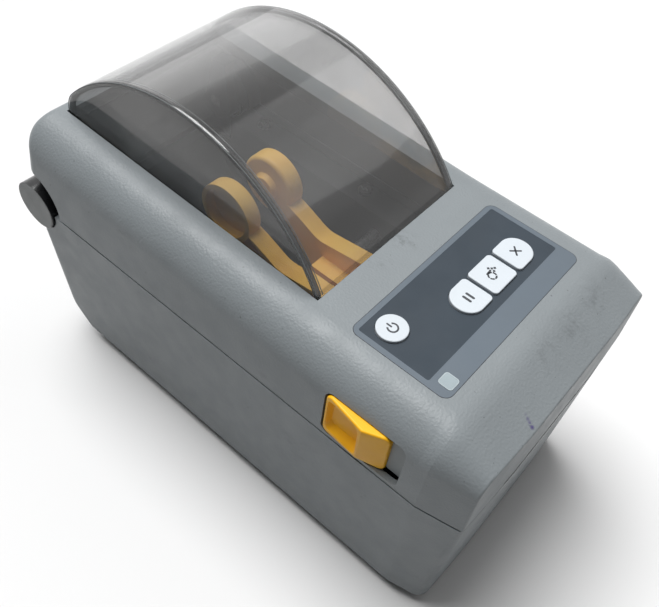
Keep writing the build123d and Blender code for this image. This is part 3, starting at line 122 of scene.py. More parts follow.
class Shader:
    """A material's node tree while it is being wired."""

    def __init__(self, name: str) -> None:
        """Start a material with one plain principled shader.

        Args:
            name: The material's name.
        """
        self.material = bpy.data.materials.new(name)
        self.material.use_nodes = True
        self.tree = self.material.node_tree
        self.surface = self.tree.nodes["Principled BSDF"]
        self.place = self.tree.nodes.new("ShaderNodeTexCoord").outputs["Object"]

    def set(self, **values: Any) -> None:
        """Set or link the principled shader's sockets.

        Args:
            values: Socket names with underscores for spaces, and a number, colour or socket each.
        """
        for name, value in values.items():
            self._plug(self.surface.inputs[name.replace("_", " ")], value)

    def _plug(self, target: Socket, value: Any) -> None:
        """Link a socket or set its value.

        Args:
            target: The input socket.
            value: Another socket, or the value to store.
        """
        if isinstance(value, bpy.types.NodeSocket):
            self.tree.links.new(value, target)
        else:
            target.default_value = value

    def noise(self, size_mm: float, detail: float = 2.0, rough: float = 0.5,
              place: Socket | None = None) -> Socket:
        """Make a noise pattern.

        Args:
            size_mm: Rough size of one blotch in millimetres.
            detail: Number of finer layers.
            rough: Strength of the finer layers.
            place: Position to sample at, or None for the object's own.

        Returns:
            The pattern's value from 0 to 1.
        """
        node = self.tree.nodes.new("ShaderNodeTexNoise")
        node.inputs["Scale"].default_value = 1 / (size_mm * MM)
        node.inputs["Detail"].default_value = detail
        node.inputs["Roughness"].default_value = rough
        self.tree.links.new(place or self.place, node.inputs["Vector"])
        return node.outputs["Fac"]

    def stretched(self, factors: Triple, turn: float = 0.0) -> Socket:
        """Stretch the object's coordinates, for brushed or scratched patterns.

        Args:
            factors: Scale along X, Y and Z.
            turn: Turn about Z in degrees before scaling.

        Returns:
            The stretched position.
        """
        node = self.tree.nodes.new("ShaderNodeMapping")
        node.inputs["Scale"].default_value = factors
        node.inputs["Rotation"].default_value = (0, 0, math.radians(turn))
        self.tree.links.new(self.place, node.inputs["Vector"])
        return node.outputs["Vector"]

    def span(self, value: Socket, low: float, high: float, first: float = 0.0,
             last: float = 1.0) -> Socket:
        """Map a value's range smoothly to another.

        Args:
            value: The input value.
            low: Input that gives first.
            high: Input that gives last.
            first: Output at low.
            last: Output at high.

        Returns:
            The mapped value.
        """
        node = self.tree.nodes.new("ShaderNodeMapRange")
        node.interpolation_type = "SMOOTHSTEP"
        for name, number in (("From Min", low), ("From Max", high), ("To Min", first),
                             ("To Max", last)):
            node.inputs[name].default_value = number
        self.tree.links.new(value, node.inputs["Value"])
        return node.outputs["Result"]

    def blend(self, factor: Socket, first: Any, second: Any) -> Socket:
        """Mix two colours.

        Args:
            factor: How much of the second, from 0 to 1.
            first: Colour or socket.
            second: Colour or socket.

        Returns:
            The mixed colour.
        """
        node = self.tree.nodes.new("ShaderNodeMix")
        node.data_type = "RGBA"
        self.tree.links.new(factor, node.inputs[MIX_FACTOR])
        self._plug(node.inputs[MIX_FIRST], first)
        self._plug(node.inputs[MIX_SECOND], second)
        return node.outputs[MIX_RESULT]

    def work(self, operation: str, first: Any, second: Any = 0.0) -> Socket:
        """Combine two numbers.

        Args:
            operation: Blender's name of the sum, such as MULTIPLY.
            first: Number or socket.
            second: Number or socket.

        Returns:
            The result.
        """
        node = self.tree.nodes.new("ShaderNodeMath")
        node.operation = operation
        self._plug(node.inputs[0], first)
        self._plug(node.inputs[1], second)
        return node.outputs[0]

    def near(self, centre: Triple, reach: float) -> Socket:
        """Find how close the surface is to a point.

        Args:
            centre: The point in millimetres.
            reach: Distance in millimetres at which the value falls to 0.

        Returns:
            1 at the point and 0 beyond reach.
        """
        node = self.tree.nodes.new("ShaderNodeVectorMath")
        node.operation = "DISTANCE"
        self.tree.links.new(self.place, node.inputs[0])
        node.inputs[1].default_value = tuple(part * MM for part in centre)
        return self.span(node.outputs["Value"], 0, reach * MM, 1, 0)

    def relief(self, height: Socket, depth_mm: float, strength: float = 1.0,
               below: Socket | None = None) -> Socket:
        """Turn a pattern into a surface relief.

        Args:
            height: The pattern.
            depth_mm: Height of the relief in millimetres.
            strength: Visible strength.
            below: A relief to add this one to.

        Returns:
            The bent normal.
        """
        node = self.tree.nodes.new("ShaderNodeBump")
        node.inputs["Distance"].default_value = depth_mm * MM
        node.inputs["Strength"].default_value = strength
        self.tree.links.new(height, node.inputs["Height"])
        if below is not None:
            self.tree.links.new(below, node.inputs["Normal"])
        return node.outputs["Normal"]


@dataclass(frozen=True)
class MouldedPlastic:
    """Moulded plastic with a spark-eroded grain and slight mottling."""

    name: str
    colour: Triple
    roughness: float = 0.45
    grain_mm: float = 0.8
    grain_depth_mm: float = 0.03
    mottle: float = 0.06
    shine: float = 0.5

    def shader(self) -> Shader:
        """Wire the plastic.

        Returns:
            The shader, ready for more marks.
        """
        made = Shader(self.name)
        cloud = made.span(made.noise(size_mm=28, detail=4, rough=0.6), low=0.3, high=0.7)
        made.set(Base_Color=made.blend(cloud, scaled(self.colour, 1 - self.mottle),
                                       scaled(self.colour, 1 + self.mottle)))
        made.set(Roughness=made.span(made.noise(size_mm=9, detail=3), low=0.25, high=0.75,
                                     first=self.roughness - 0.05, last=self.roughness + 0.06))
        grain = made.noise(self.grain_mm, detail=1.5, rough=0.4)
        made.set(Normal=made.relief(grain, self.grain_depth_mm, strength=0.8))
        made.set(Specular_IOR_Level=self.shine)
        return made

    def material(self) -> bpy.types.Material:
        """Return the finished material."""
        return self.shader().material


@dataclass(frozen=True)
class HandledCasing(MouldedPlastic):
    """The casing's grained plastic with the smudges, scuffs and ink fleck of a used machine.

    Each scuff is its centre, its reach in millimetres and its strength.
    """

    scuffs: tuple[tuple[Triple, float, float], ...] = ()
    ink: tuple[Triple, ...] = ()
    ink_colour: Triple = (60, 46, 104)
    ink_reach: float = 1.3
    grime: float = 0.12
    grime_shade: float = 0.78
    scuff_shade: float = 0.6
    speck_shade: float = 0.45

    def shader(self) -> Shader:
        """Wire the plastic and lay its marks over it.

        Returns:
            The shader.
        """
        made = super().shader()
        base = made.surface.inputs["Base Color"].links[0].from_socket
        cloud = made.span(made.noise(size_mm=9, detail=6, rough=0.7), low=0.52, high=0.8)
        colour = made.blend(made.work("MULTIPLY", cloud, self.grime), base,
                            scaled(self.colour, self.grime_shade))
        smudge = made.noise(3.2, 7, 0.78, made.stretched((1.0, 0.6, 1.0), turn=35))
        for centre, reach, strength in self.scuffs:
            smear = made.work("MULTIPLY", made.near(centre, reach),
                              made.span(smudge, low=0.44, high=0.66, last=strength))
            colour = made.blend(smear, colour, scaled(self.colour, self.scuff_shade))
        specks = made.noise(size_mm=1.6, detail=2, rough=0.5)
        colour = made.blend(made.span(specks, low=0.735, high=0.765, last=0.5), colour,
                            scaled(self.colour, self.speck_shade))
        for centre in self.ink:
            broken = made.span(made.noise(size_mm=1.2, detail=3, rough=0.7), low=0.36, high=0.5)
            fleck = made.work("MULTIPLY", made.near(centre, self.ink_reach), broken)
            colour = made.blend(fleck, colour, srgb(*self.ink_colour))
        made.set(Base_Color=colour)
        return made


@dataclass(frozen=True)
class SmokedClear:
    """Smoked clear plastic, dusty and finely scratched, with painted sheen; denser where seen
    edge on.
    """

    name: str
    colour: Triple
    face: float
    edge: float
    dust: float = 0.05
    gloss: float = 1.0
    marks: float = 0.09

    def material(self) -> bpy.types.Material:
        """Return the finished material."""
        made = Shader(self.name)
        # Noise stretched along X, for the dust film and the painted sheen bands.
        film_and_sheen_bands = made.noise(30, 3, 0.5, made.stretched((0.12, 1.0, 1.0)))
        specks = made.span(made.noise(size_mm=1.1, detail=2, rough=0.55), low=0.7, high=0.76)
        streaks = made.noise(6.0, 3, 0.6, made.stretched((5.0, 0.1, 5.0), turn=24))
        scratches = made.span(streaks, low=0.68, high=0.74)
        marks = made.work("MULTIPLY", made.work("MAXIMUM", specks, scratches), self.marks)
        facing = made.tree.nodes.new("ShaderNodeLayerWeight")
        facing.inputs["Blend"].default_value = 0.34
        density = made.span(facing.outputs["Facing"], low=0.1, high=0.95, first=self.face,
                            last=self.edge)
        haze = made.span(film_and_sheen_bands, low=0.35, high=0.7, last=self.dust)
        made.set(Alpha=made.work("ADD", density, made.work("ADD", haze, marks)))
        # Dust and painted sheen: pale bands along X lighten the base colour, partly standing in
        # for reflected light.
        dust_and_sheen = made.work("ADD", made.span(film_and_sheen_bands, low=0.3, high=0.75, last=0.5), marks)
        made.set(Base_Color=made.blend(dust_and_sheen, srgb(*self.colour),
                                       scaled(self.colour, 2.4, lift=14)))
        made.set(Roughness=made.span(film_and_sheen_bands, low=0.3, high=0.8, first=0.07, last=0.16), IOR=1.5)
        made.set(Specular_IOR_Level=self.gloss)
        made.set(Coat_Weight=self.gloss, Coat_Roughness=0.05, Coat_IOR=1.8)
        return made.material


@dataclass(frozen=True)
class BrushedMetal:
    """Turned or rolled metal with fine lines along one axis."""

    name: str
    colour: Triple
    roughness: float = 0.3
    lines: Triple = (1.0, 1.0, 14.0)
    grain_mm: float = 2.0
    groove_shade: float = 0.82

    def material(self) -> bpy.types.Material:
        """Return the finished material."""
        made = Shader(self.name)
        grain = made.noise(self.grain_mm, 4, 0.65, made.stretched(self.lines))
        made.set(Base_Color=made.blend(made.span(grain, low=0.3, high=0.7),
                                       scaled(self.colour, self.groove_shade),
                                       srgb(*self.colour)))
        made.set(Metallic=1.0)
        made.set(Roughness=made.span(grain, low=0.2, high=0.8, first=self.roughness - 0.08,
                                     last=self.roughness + 0.12))
        made.set(Normal=made.relief(grain, depth_mm=0.01, strength=0.35))
        return made.material


@dataclass(frozen=True)
class SoftRubber:
    """Matt rubber with a dusty bloom."""

    name: str
    colour: Triple
    bloom: Triple = (96, 96, 95)

    def material(self) -> bpy.types.Material:
        """Return the finished material."""
        made = Shader(self.name)
        dust = made.noise(size_mm=4, detail=5, rough=0.7)
        made.set(Base_Color=made.blend(made.span(dust, low=0.42, high=0.75, last=0.35),
                                       srgb(*self.colour), srgb(*self.bloom)))
        made.set(Roughness=made.span(made.noise(size_mm=1.5, detail=3), low=0.3, high=0.7,
                                     first=0.7, last=0.9))
        made.set(Normal=made.relief(made.noise(size_mm=0.5), depth_mm=0.02, strength=0.5))
        return made.material


@dataclass(frozen=True)
class BoardLacquer:
    """A lacquered circuit board: faint copper runs under a glossy mask."""

    name: str
    mask: Triple
    run: Triple
    run_pitch_mm: float = 4.2
    run_width: float = 0.035

    def material(self) -> bpy.types.Material:
        """Return the finished material."""
        made = Shader(self.name)
        pattern = made.tree.nodes.new("ShaderNodeTexBrick")
        pattern.inputs["Scale"].default_value = 1 / (self.run_pitch_mm * MM)
        pattern.inputs["Mortar Size"].default_value = self.run_width
        pattern.inputs["Color1"].default_value = (0, 0, 0, 1)
        pattern.inputs["Color2"].default_value = (0, 0, 0, 1)
        pattern.inputs["Mortar"].default_value = (1, 1, 1, 1)
        made.tree.links.new(made.place, pattern.inputs["Vector"])
        islands = made.span(made.noise(size_mm=14, detail=1), low=0.46, high=0.52)
        runs = made.work("MULTIPLY", pattern.outputs["Color"], islands)
        made.set(Base_Color=made.blend(runs, srgb(*self.mask), srgb(*self.run)))
        made.set(Roughness=made.span(made.noise(size_mm=6), low=0.3, high=0.7, first=0.22,
                                     last=0.34))
        made.set(Normal=made.relief(runs, depth_mm=0.03, strength=0.5), Coat_Weight=0.3)
        return made.material


@dataclass(frozen=True)
class PrintedInk:
    """Matt printing ink, very slightly worn."""

    name: str
    colour: Triple
    worn: Triple = (104, 108, 114)

    def material(self) -> bpy.types.Material:
        """Return the finished material."""
        made = Shader(self.name)
        wear = made.noise(size_mm=0.6, detail=4, rough=0.7)
        made.set(Base_Color=made.blend(made.span(wear, low=0.35, high=0.8, last=0.25),
                                       srgb(*self.colour), srgb(*self.worn)))
        made.set(Roughness=0.55)
        return made.material


USED_CASING = HandledCasing(
    "casing_grained_gray", (129, 135, 138), roughness=0.44, grain_mm=0.85, grain_depth_mm=0.17,
    mottle=0.012, shine=0.38,
    scuffs=(((2.7, -35.6, 113.9), 7.0, 0.6), ((-11.0, -35.5, 113.9), 6.0, 0.35),
            ((30.0, -96.0, 110.0), 9.0, 0.5), ((14.0, -97.0, 109.5), 10.0, 0.45),
            ((-2.0, -95.0, 109.5), 12.0, 0.3), ((-57.3, 43.0, 100.0), 8.0, 0.35),
            ((-57.3, -25.0, 84.0), 10.0, 0.3), ((57.3, 20.0, 90.0), 14.0, 0.35),
            ((0.0, 105.0, 95.0), 18.0, 0.35), ((-56.0, -40.0, 50.0), 14.0, 0.3),
            ((12.0, -109.0, 50.0), 16.0, 0.3)),
    ink=((-24.1, -103.2, 107.8), (-24.6, -104.6, 107.5), (-25.1, -106.0, 107.1),
         (-25.4, -107.2, 106.8)))


class Finish(Enum):
    """Every finish on the printer."""

    CASING = USED_CASING
    LIP = MouldedPlastic("lip_light_gray", (166, 170, 172), roughness=0.36, grain_depth_mm=0.01)
    PANEL = MouldedPlastic("panel_frame_gray", (85, 96, 106), roughness=0.5, grain_mm=0.6,
                           grain_depth_mm=0.015, mottle=0.015)
    INLAY = MouldedPlastic("panel_inlay_slate", (43, 53, 62), roughness=0.55, grain_mm=0.5,
                           grain_depth_mm=0.01, mottle=0.04, shine=0.3)
    KEY = MouldedPlastic("key_off_white", (205, 212, 218), roughness=0.45, grain_mm=0.5,
                         grain_depth_mm=0.012, mottle=0.012)
    TILE = MouldedPlastic("tile_pale_gray", (153, 166, 171), roughness=0.5, grain_mm=0.5,
                          grain_depth_mm=0.01, mottle=0.04)
    TILE_EDGE = MouldedPlastic("tile_edge_gray", (173, 184, 188), roughness=0.5)
    WINDOW = SmokedClear("window_smoked_clear", (58, 58, 58), face=0.2, edge=0.74)
    # Painted shade: a near-opaque dark finish for the bands that stand in for the dark look of
    # the window's thick clear edge.
    WINDOW_EDGE = SmokedClear("window_edge_painted_shade", (15, 16, 18), face=0.8, edge=0.97, dust=0.01,
                              gloss=0.35)
    # Painted highlight: a light finish for the thin bright lines along the window's edge bands.
    WINDOW_LINE = MouldedPlastic("window_painted_highlight_line", (112, 116, 118), roughness=0.35,
                                 grain_depth_mm=0.003, shine=0.3)
    GRIP = MouldedPlastic("grip_yellow", (255, 186, 24), roughness=0.42, grain_mm=0.6,
                          grain_depth_mm=0.012, mottle=0.025, shine=0.3)
    LATCH = MouldedPlastic("latch_plate_gray", (117, 123, 125), roughness=0.45, grain_mm=0.6,
                           grain_depth_mm=0.015)
    # Gloss black plastic for the hinge liners. It also paints the shadowed crescent beside each
    # hinge disc dark, as painted shade.
    HINGE = MouldedPlastic("hinge_black_and_painted_shade", (19, 20, 22), roughness=0.24, grain_mm=1.5,
                           grain_depth_mm=0.004, mottle=0.08)
    CAP = MouldedPlastic("hinge_cap_gray", (94, 98, 98), roughness=0.45, grain_mm=1.2,
                         grain_depth_mm=0.08, mottle=0.05)
    HOLDER = MouldedPlastic("holder_amber", (255, 196, 88), roughness=0.42, grain_mm=1.0,
                            grain_depth_mm=0.02, mottle=0.05)
    BLACK = MouldedPlastic("inner_black", (20, 21, 23), roughness=0.55, grain_mm=0.9,
                           grain_depth_mm=0.03, mottle=0.12, shine=0.35)
    RUBBER = SoftRubber("rubber_black", (24, 24, 25))
    STEEL = BrushedMetal("steel_drawn", (186, 188, 190), 0.3, (14.0, 1.0, 1.0))
    SHEET = BrushedMetal("steel_sheet", (168, 170, 172), 0.34, (1.0, 1.0, 10.0))
    SPRING = BrushedMetal("spring_wire", (150, 152, 156), 0.25, (3.0, 3.0, 3.0), 0.8)
    IVORY = MouldedPlastic("gear_ivory", (224, 220, 206), roughness=0.34, grain_mm=0.5,
                           grain_depth_mm=0.008)
    BRASS = BrushedMetal("brass_cut", (205, 168, 92), 0.26, (6.0, 1.0, 1.0), 1.0)
    BOARD = BoardLacquer("board_green", (18, 78, 42), (44, 122, 66))
    CHIP = MouldedPlastic("chip_black", (28, 28, 30), roughness=0.42, grain_mm=0.3,
                          grain_depth_mm=0.01)
    ALUMINIUM = BrushedMetal("head_aluminium", (196, 198, 201), 0.33, (1.0, 8.0, 1.0))
    CERAMIC = MouldedPlastic("heater_ceramic", (202, 196, 180), roughness=0.16, grain_mm=2.0,
                             grain_depth_mm=0.002)
    INK = PrintedInk("sign_ink", (30, 34, 40))
    SHADOW_LINE = MouldedPlastic("panel_joint", (34, 38, 43), roughness=0.6)

    def material(self) -> bpy.types.Material:
        """Return this finish's material, made once."""
        return bpy.data.materials.get(self.value.name) or self.value.material()


SLOTS: dict[str, Finish] = {
    "casing_gray": Finish.CASING,
    "lip_gray": Finish.LIP,
    "panel_gray": Finish.PANEL,
    "inlay_slate": Finish.INLAY,
    "key_white": Finish.KEY,
    "tile_white": Finish.TILE,
    "smoked_clear": Finish.WINDOW,
    "latch_yellow": Finish.GRIP,
    "latch_gray": Finish.LATCH,
    # The hinge liners: black plastic that also carries painted shade.
    "hinge_black": Finish.HINGE,
    "holder_yellow": Finish.HOLDER,
    "inner_black": Finish.BLACK,
    "rubber_black": Finish.RUBBER,
    "steel": Finish.STEEL,
    "spring_steel": Finish.SPRING,
    "gear_ivory": Finish.IVORY,
    "brass": Finish.BRASS,
    "board_green": Finish.BOARD,
    "chip_black": Finish.CHIP,
    "head_aluminium": Finish.ALUMINIUM,
    "head_ceramic": Finish.CERAMIC,
    "socket_ivory": Finish.IVORY,
}

NODE_FINISHES: dict[str, Finish] = {
    "gear_plate": Finish.SHEET,
    "tear_bar": Finish.SHEET,
    "usb_port": Finish.SHEET,
    "drive_motor": Finish.SHEET,
    "hinge_caps": Finish.CAP,
}


class MeshMaker:
    """Collects faces in millimetres and turns them into one piece."""

    def __init__(self) -> None:
        """Start with no geometry."""
        self.mesh = bmesh.new()

    def prism(self, outline: Sequence[Point], low: float, high: float) -> None:
        """Add a flat shape with a thickness along Z.

        Args:
            outline: Corners in X and Y, counter-clockwise.
            low: Lower height.
            high: Upper height.
        """
        rings = [[self.mesh.verts.new((x, y, z)) for x, y in outline] for z in (low, high)]
        self.mesh.faces.new(list(reversed(rings[0])))
        self.mesh.faces.new(rings[1])
        for index in range(len(outline)):
            after = (index + 1) % len(outline)
            self.mesh.faces.new((rings[0][index], rings[0][after], rings[1][after],
                                 rings[1][index]))

    def band(self, outer: Sequence[Point], inner: Sequence[Point], low: float, high: float,
             closed: bool = True) -> None:
        """Add a strip between two outlines with the same number of corners.

        Args:
            outer: Outer corners in X and Y.
            inner: Inner corners in X and Y.
            low: Lower height.
            high: Upper height.
            closed: Whether the strip runs all the way round.
        """
        rings = [[self.mesh.verts.new((x, y, z)) for x, y in line]
                 for line in (outer, inner) for z in (low, high)]
        count = len(outer)
        for index in range(count if closed else count - 1):
            after = (index + 1) % count
            for first, second in ((0, 1), (3, 2), (1, 3), (2, 0)):
                self.mesh.faces.new((rings[first][index], rings[first][after],
                                     rings[second][after], rings[second][index]))
        if not closed:
            for end in (0, count - 1):
                self.mesh.faces.new([rings[ring][end] for ring in (0, 1, 3, 2)])

    def tube(self, path: Sequence[Vector], width: float, height: float, side: Vector,
             steps: int = 8) -> None:
        """Add a rounded bar that follows a path.

        Args:
            path: Points in millimetres.
            width: Width across side.
            height: Height across the other way.
            side: Direction of the width.
            steps: Corners of the bar's section.
        """
        rings = []
        for index, point in enumerate(path):
            ahead = path[min(index + 1, len(path) - 1)] - path[max(index - 1, 0)]
            up = ahead.normalized().cross(side).normalized()
            ring = []
            for step in range(steps):
                angle = 2 * math.pi * (step + 0.5) / steps
                place = point + side * (width / 2 * math.cos(angle))
                ring.append(self.mesh.verts.new(place + up * (height / 2 * math.sin(angle))))
            rings.append(ring)
        for first, second in zip(rings, rings[1:]):
            for step in range(steps):
                after = (step + 1) % steps
                self.mesh.faces.new((first[step], first[after], second[after], second[step]))
        self.mesh.faces.new(list(reversed(rings[0])))
        self.mesh.faces.new(rings[-1])

    def piece(self, name: str, finish: Finish, body: str,
              smooth: bool = False) -> bpy.types.Object:
        """Finish the piece and hang it on its body.

        Args:
            name: The piece's name.
            finish: Its finish.
            body: The CAD body that it rides on.
            smooth: Whether its faces shade smoothly.

        Returns:
            The new object.
        """
        bmesh.ops.recalc_face_normals(self.mesh, faces=self.mesh.faces)
        bmesh.ops.scale(self.mesh, vec=(MM, MM, MM), verts=self.mesh.verts)
        data = bpy.data.meshes.new(name)
        self.mesh.to_mesh(data)
        self.mesh.free()
        for face in data.polygons:
            face.use_smooth = smooth
        data.materials.append(finish.material())
        made = bpy.data.objects.new(name, data)
        bpy.context.scene.collection.objects.link(made)
        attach(made, body)
        log.info("piece %s on %s", name, body)
        return made


def arc(centre: Point, radius: float, start: float, stop: float, steps: int) -> list[Point]:
    """Points along an arc.

    Args:
        centre: Its centre.
        radius: Its radius.
        start: First angle in degrees.
        stop: Last angle in degrees.
        steps: Number of stretches.

    Returns:
        The points.
    """
    angles = [math.radians(start + (stop - start) * step / steps) for step in range(steps + 1)]
    return [(centre[0] + radius * math.cos(a), centre[1] + radius * math.sin(a)) for a in angles]


def rounded(x0: float, x1: float, y0: float, y1: float, radius: float) -> list[Point]:
    """Corners of a rounded rectangle, counter-clockwise.

    Args:
        x0: Left edge.
        x1: Right edge.
        y0: Front edge.
        y1: Rear edge.
        radius: Corner radius.

    Returns:
        The points.
    """
    points: list[Point] = []
    for x, y, start in ((x1 - radius, y0 + radius, -90), (x1 - radius, y1 - radius, 0),
                        (x0 + radius, y1 - radius, 90), (x0 + radius, y0 + radius, 180)):
        points += arc((x, y), radius, start, start + 90, CORNER_STEPS)
    return points


@dataclass
class SignedKeys:
    """The printed signs on the four keys, each placed at its key's middle."""

    power: Point = (-31.1, -56.0)
    pause: Point = (-3.4, -66.5)
    feed: Point = (11.3, -66.5)
    cancel: Point = (26.1, -66.5)
    stroke: float = 0.64
    ink_height: float = 0.03
    ink_depth: float = 0.02
    power_radius: float = 1.75
    pause_half: float = 1.4
    pause_stroke: float = 0.95
    feed_radius: float = 1.45
    feed_links: int = 5
    link_angle: float = 62
    diamond: float = 0.62
    cross_half: float = 1.4
    cross_stroke: float = 0.7

    def _heights(self) -> Point:
        """Lower and upper height of the ink."""
        top = DECK_TOP + KEY_PROUD
        return top - self.ink_depth, top + self.ink_height

    def _bar(self, maker: MeshMaker, start: Point, stop: Point, wide: float) -> None:
        """Add a straight stroke with rounded ends.

        Args:
            maker: The piece being made.
            start: Middle of the first end.
            stop: Middle of the second end.
            wide: Width of the stroke.
        """
        lean = math.degrees(math.atan2(stop[1] - start[1], stop[0] - start[0]))
        ends = arc(stop, wide / 2, lean - 90, lean + 90, 5)
        ends += arc(start, wide / 2, lean + 90, lean + 270, 5)
        maker.prism(ends, *self._heights())

    def _curve(self, maker: MeshMaker, centre: Point, radius: float, start: float,
               stop: float) -> None:
        """Add a curved stroke.

        Args:
            maker: The piece being made.
            centre: Centre of the curve.
            radius: Radius at its middle.
            start: First angle in degrees.
            stop: Last angle in degrees.
        """
        half = self.stroke / 2
        outer = arc(centre, radius + half, start, stop, ARC_STEPS)
        inner = arc(centre, radius - half, start, stop, ARC_STEPS)
        maker.band(outer, inner, *self._heights(), closed=False)

    def _power_sign(self) -> None:
        """Make the open ring with its upright stroke."""
        maker = MeshMaker()
        x, y = self.power
        self._curve(maker, (x, y - 0.15), self.power_radius, 128, 412)
        self._bar(maker, (x, y + 0.5), (x, y + 2.15), self.stroke)
        maker.piece("sign_power", Finish.INK, "power_button")

    def _pause_sign(self) -> None:
        """Make the two upright bars."""
        maker = MeshMaker()
        x, y = self.pause
        half = self.pause_half
        for side in (-self.pause_stroke, self.pause_stroke):
            self._bar(maker, (x + side, y - half), (x + side, y + half), self.pause_stroke)
        maker.piece("sign_pause", Finish.INK, "pause_button")

    def _feed_sign(self) -> None:
        """Make the roll of links, the label that leaves it and four small diamonds."""
        maker = MeshMaker()
        x, y = self.feed
        for link in range(self.feed_links):
            start = 40 + link * 360 / self.feed_links
            self._curve(maker, (x - 0.9, y - 0.5), self.feed_radius, start,
                        start + self.link_angle)
        self._bar(maker, (x - 1.6, y + 1.15), (x + 0.6, y + 1.35), 0.75)
        for across, along in ((1.35, 0.3), (1.75, 1.5), (0.9, 2.4), (2.7, 0.9)):
            maker.prism(arc((x + across, y + along), self.diamond, 0, 270, 3), *self._heights())
        maker.piece("sign_feed", Finish.INK, "feed_button")

    def _cancel_sign(self) -> None:
        """Make the cross."""
        maker = MeshMaker()
        x, y = self.cancel
        reach = self.cross_half
        for rise in (-reach, reach):
            self._bar(maker, (x - reach, y + rise), (x + reach, y - rise), self.cross_stroke)
        maker.piece("sign_cancel", Finish.INK, "cancel_button")

    def build(self) -> None:
        """Make the four signs."""
        self._power_sign()
        self._pause_sign()
        self._feed_sign()
        self._cancel_sign()


@dataclass
class PanelTrim:
    """The fine dark joint line round the panel and the light frame of the tile."""

    half: float = 40.95
    rear: float = -46.25
    front: float = -84.55
    corner: float = 3.4
    joint: float = 0.4
    joint_depth: float = 0.7
    joint_proud: float = 0.02
    tile: Point = (-34.6, -80.6)
    tile_half: float = 2.65
    tile_corner: float = 1.15
    tile_edge: float = 0.3
    tile_proud: float = 0.16

    def _joint_line(self) -> None:
        """Make the dark line that runs round the panel."""
        maker = MeshMaker()
        step = self.joint
        outer = rounded(-self.half, self.half, self.front, self.rear, self.corner)
        inner = rounded(-self.half + step, self.half - step, self.front + step, self.rear - step,
                        self.corner - step)
        maker.band(outer, inner, DECK_TOP - self.joint_depth, DECK_TOP + self.joint_proud)
        maker.piece("panel_joint_line", Finish.SHADOW_LINE, "cover")

    def _tile_outline(self, step: float) -> list[Point]:
        """Draw the tile's outline.

        Args:
            step: Distance inside the tile's edge.

        Returns:
            The points.
        """
        x, y = self.tile
        reach = self.tile_half - step
        return rounded(x - reach, x + reach, y - reach, y + reach, self.tile_corner - step)

    def build(self) -> None:
        """Make the joint line and the tile's frame."""
        self._joint_line()
        maker = MeshMaker()
        maker.band(self._tile_outline(0), self._tile_outline(self.tile_edge), DECK_TOP,
                   DECK_TOP + self.tile_proud)
        maker.piece("tile_frame", Finish.TILE_EDGE, "cover")


@dataclass
class WindowEdges:
    """Painted dark bands and painted highlight rims along both sides of the window's arc."""

    half_foot: float = 38.7
    draft: float = 0.06
    front: float = -31.4
    rear: float = 93.7
    centre: Point = (34.4, 73.1)
    radius: float = 77.5
    heel: float = 12.0
    front_foot: float = 112.6
    rear_foot: float = 115.6
    arc_steps: int = 72
    heel_steps: int = 12
    band_inset: float = 1.2
    band_sink: float = 1.45
    band_width: float = 2.7
    band_height: float = 2.0
    rim_inset: float = 0.25
    rim_width: float = 0.36
    rim_height: float = 0.3
    rim_sinks: tuple[tuple[str, float], ...] = (("outer", 0.35), ("inner", 2.75))

    def outline(self, inset: float) -> list[Point]:
        """Follow the window's side outline.

        Args:
            inset: Distance inside the outline.

        Returns:
            Points in Y and Z from the front foot over the top to the rear foot.
        """
        radius = self.radius - inset
        heel = self.heel - inset
        front = self.front + inset
        middle_y, middle_z = self.centre
        start = math.acos((front - middle_y) / radius)
        heel_y = self.rear - inset - heel
        heel_z = middle_z + math.sqrt((radius - heel) ** 2 - (heel_y - middle_y) ** 2)
        lean = math.atan2(heel_z - middle_z, heel_y - middle_y)
        line = [(front, self.front_foot)] if inset > self.rim_inset else []
        line += arc(self.centre, radius, math.degrees(start), math.degrees(lean), self.arc_steps)
        line += arc((heel_y, heel_z), heel, math.degrees(lean), 0, self.heel_steps)[1:]
        line.append((heel_y + heel, self.rear_foot))
        return line

    def path(self, inset: float, sink: float, sign: float) -> list[Vector]:
        """Lay the window's side outline on its leaning side face.

        Args:
            inset: Distance inside the outline.
            sink: Distance in from the side face.
            sign: -1 for the left side and 1 for the right.

        Returns:
            Points from the front foot over the top to the rear foot.
        """
        return [Vector((sign * (self.half_foot - self.draft * (z - DECK_TOP) - sink), y, z))
                for y, z in self.outline(inset)]

    def build(self) -> None:
        """Make the painted shade bands and painted highlight rims on both sides."""
        for label, sign in (("left", -1.0), ("right", 1.0)):
            side = Vector((sign, 0, 0))
            # Painted shade band along the edge of the arc.
            band = MeshMaker()
            band.tube(self.path(self.band_inset, self.band_sink, sign), self.band_width,
                      self.band_height, side, 10)
            band.piece(f"window_shade_band_{label}", Finish.WINDOW_EDGE, "cover", True)
            # Painted highlights: thin light lines along the edge band.
            for name, sink in self.rim_sinks:
                rim = MeshMaker()
                rim.tube(self.path(self.rim_inset, sink, sign), self.rim_width, self.rim_height,
                         side, 6)
                rim.piece(f"window_highlight_rim_{name}_{label}", Finish.WINDOW_LINE, "cover",
                          True)


def seen_directly(tree: bpy.types.NodeTree) -> Socket:
    """Tell rays that show the background from those that only light the object.

    Args:
        tree: The node tree to work in.

    Returns:
        1 for camera, mirrored and transmitted rays, and 0 for the others.
    """
    rays = tree.nodes.new("ShaderNodeLightPath")
    seen = rays.outputs["Is Camera Ray"]
    for name in ("Is Glossy Ray", "Is Transmission Ray"):
        node = tree.nodes.new("ShaderNodeMath")
        node.operation = "MAXIMUM"
        tree.links.new(seen, node.inputs[0])
        tree.links.new(rays.outputs[name], node.inputs[1])
        seen = node.outputs[0]
    return seen


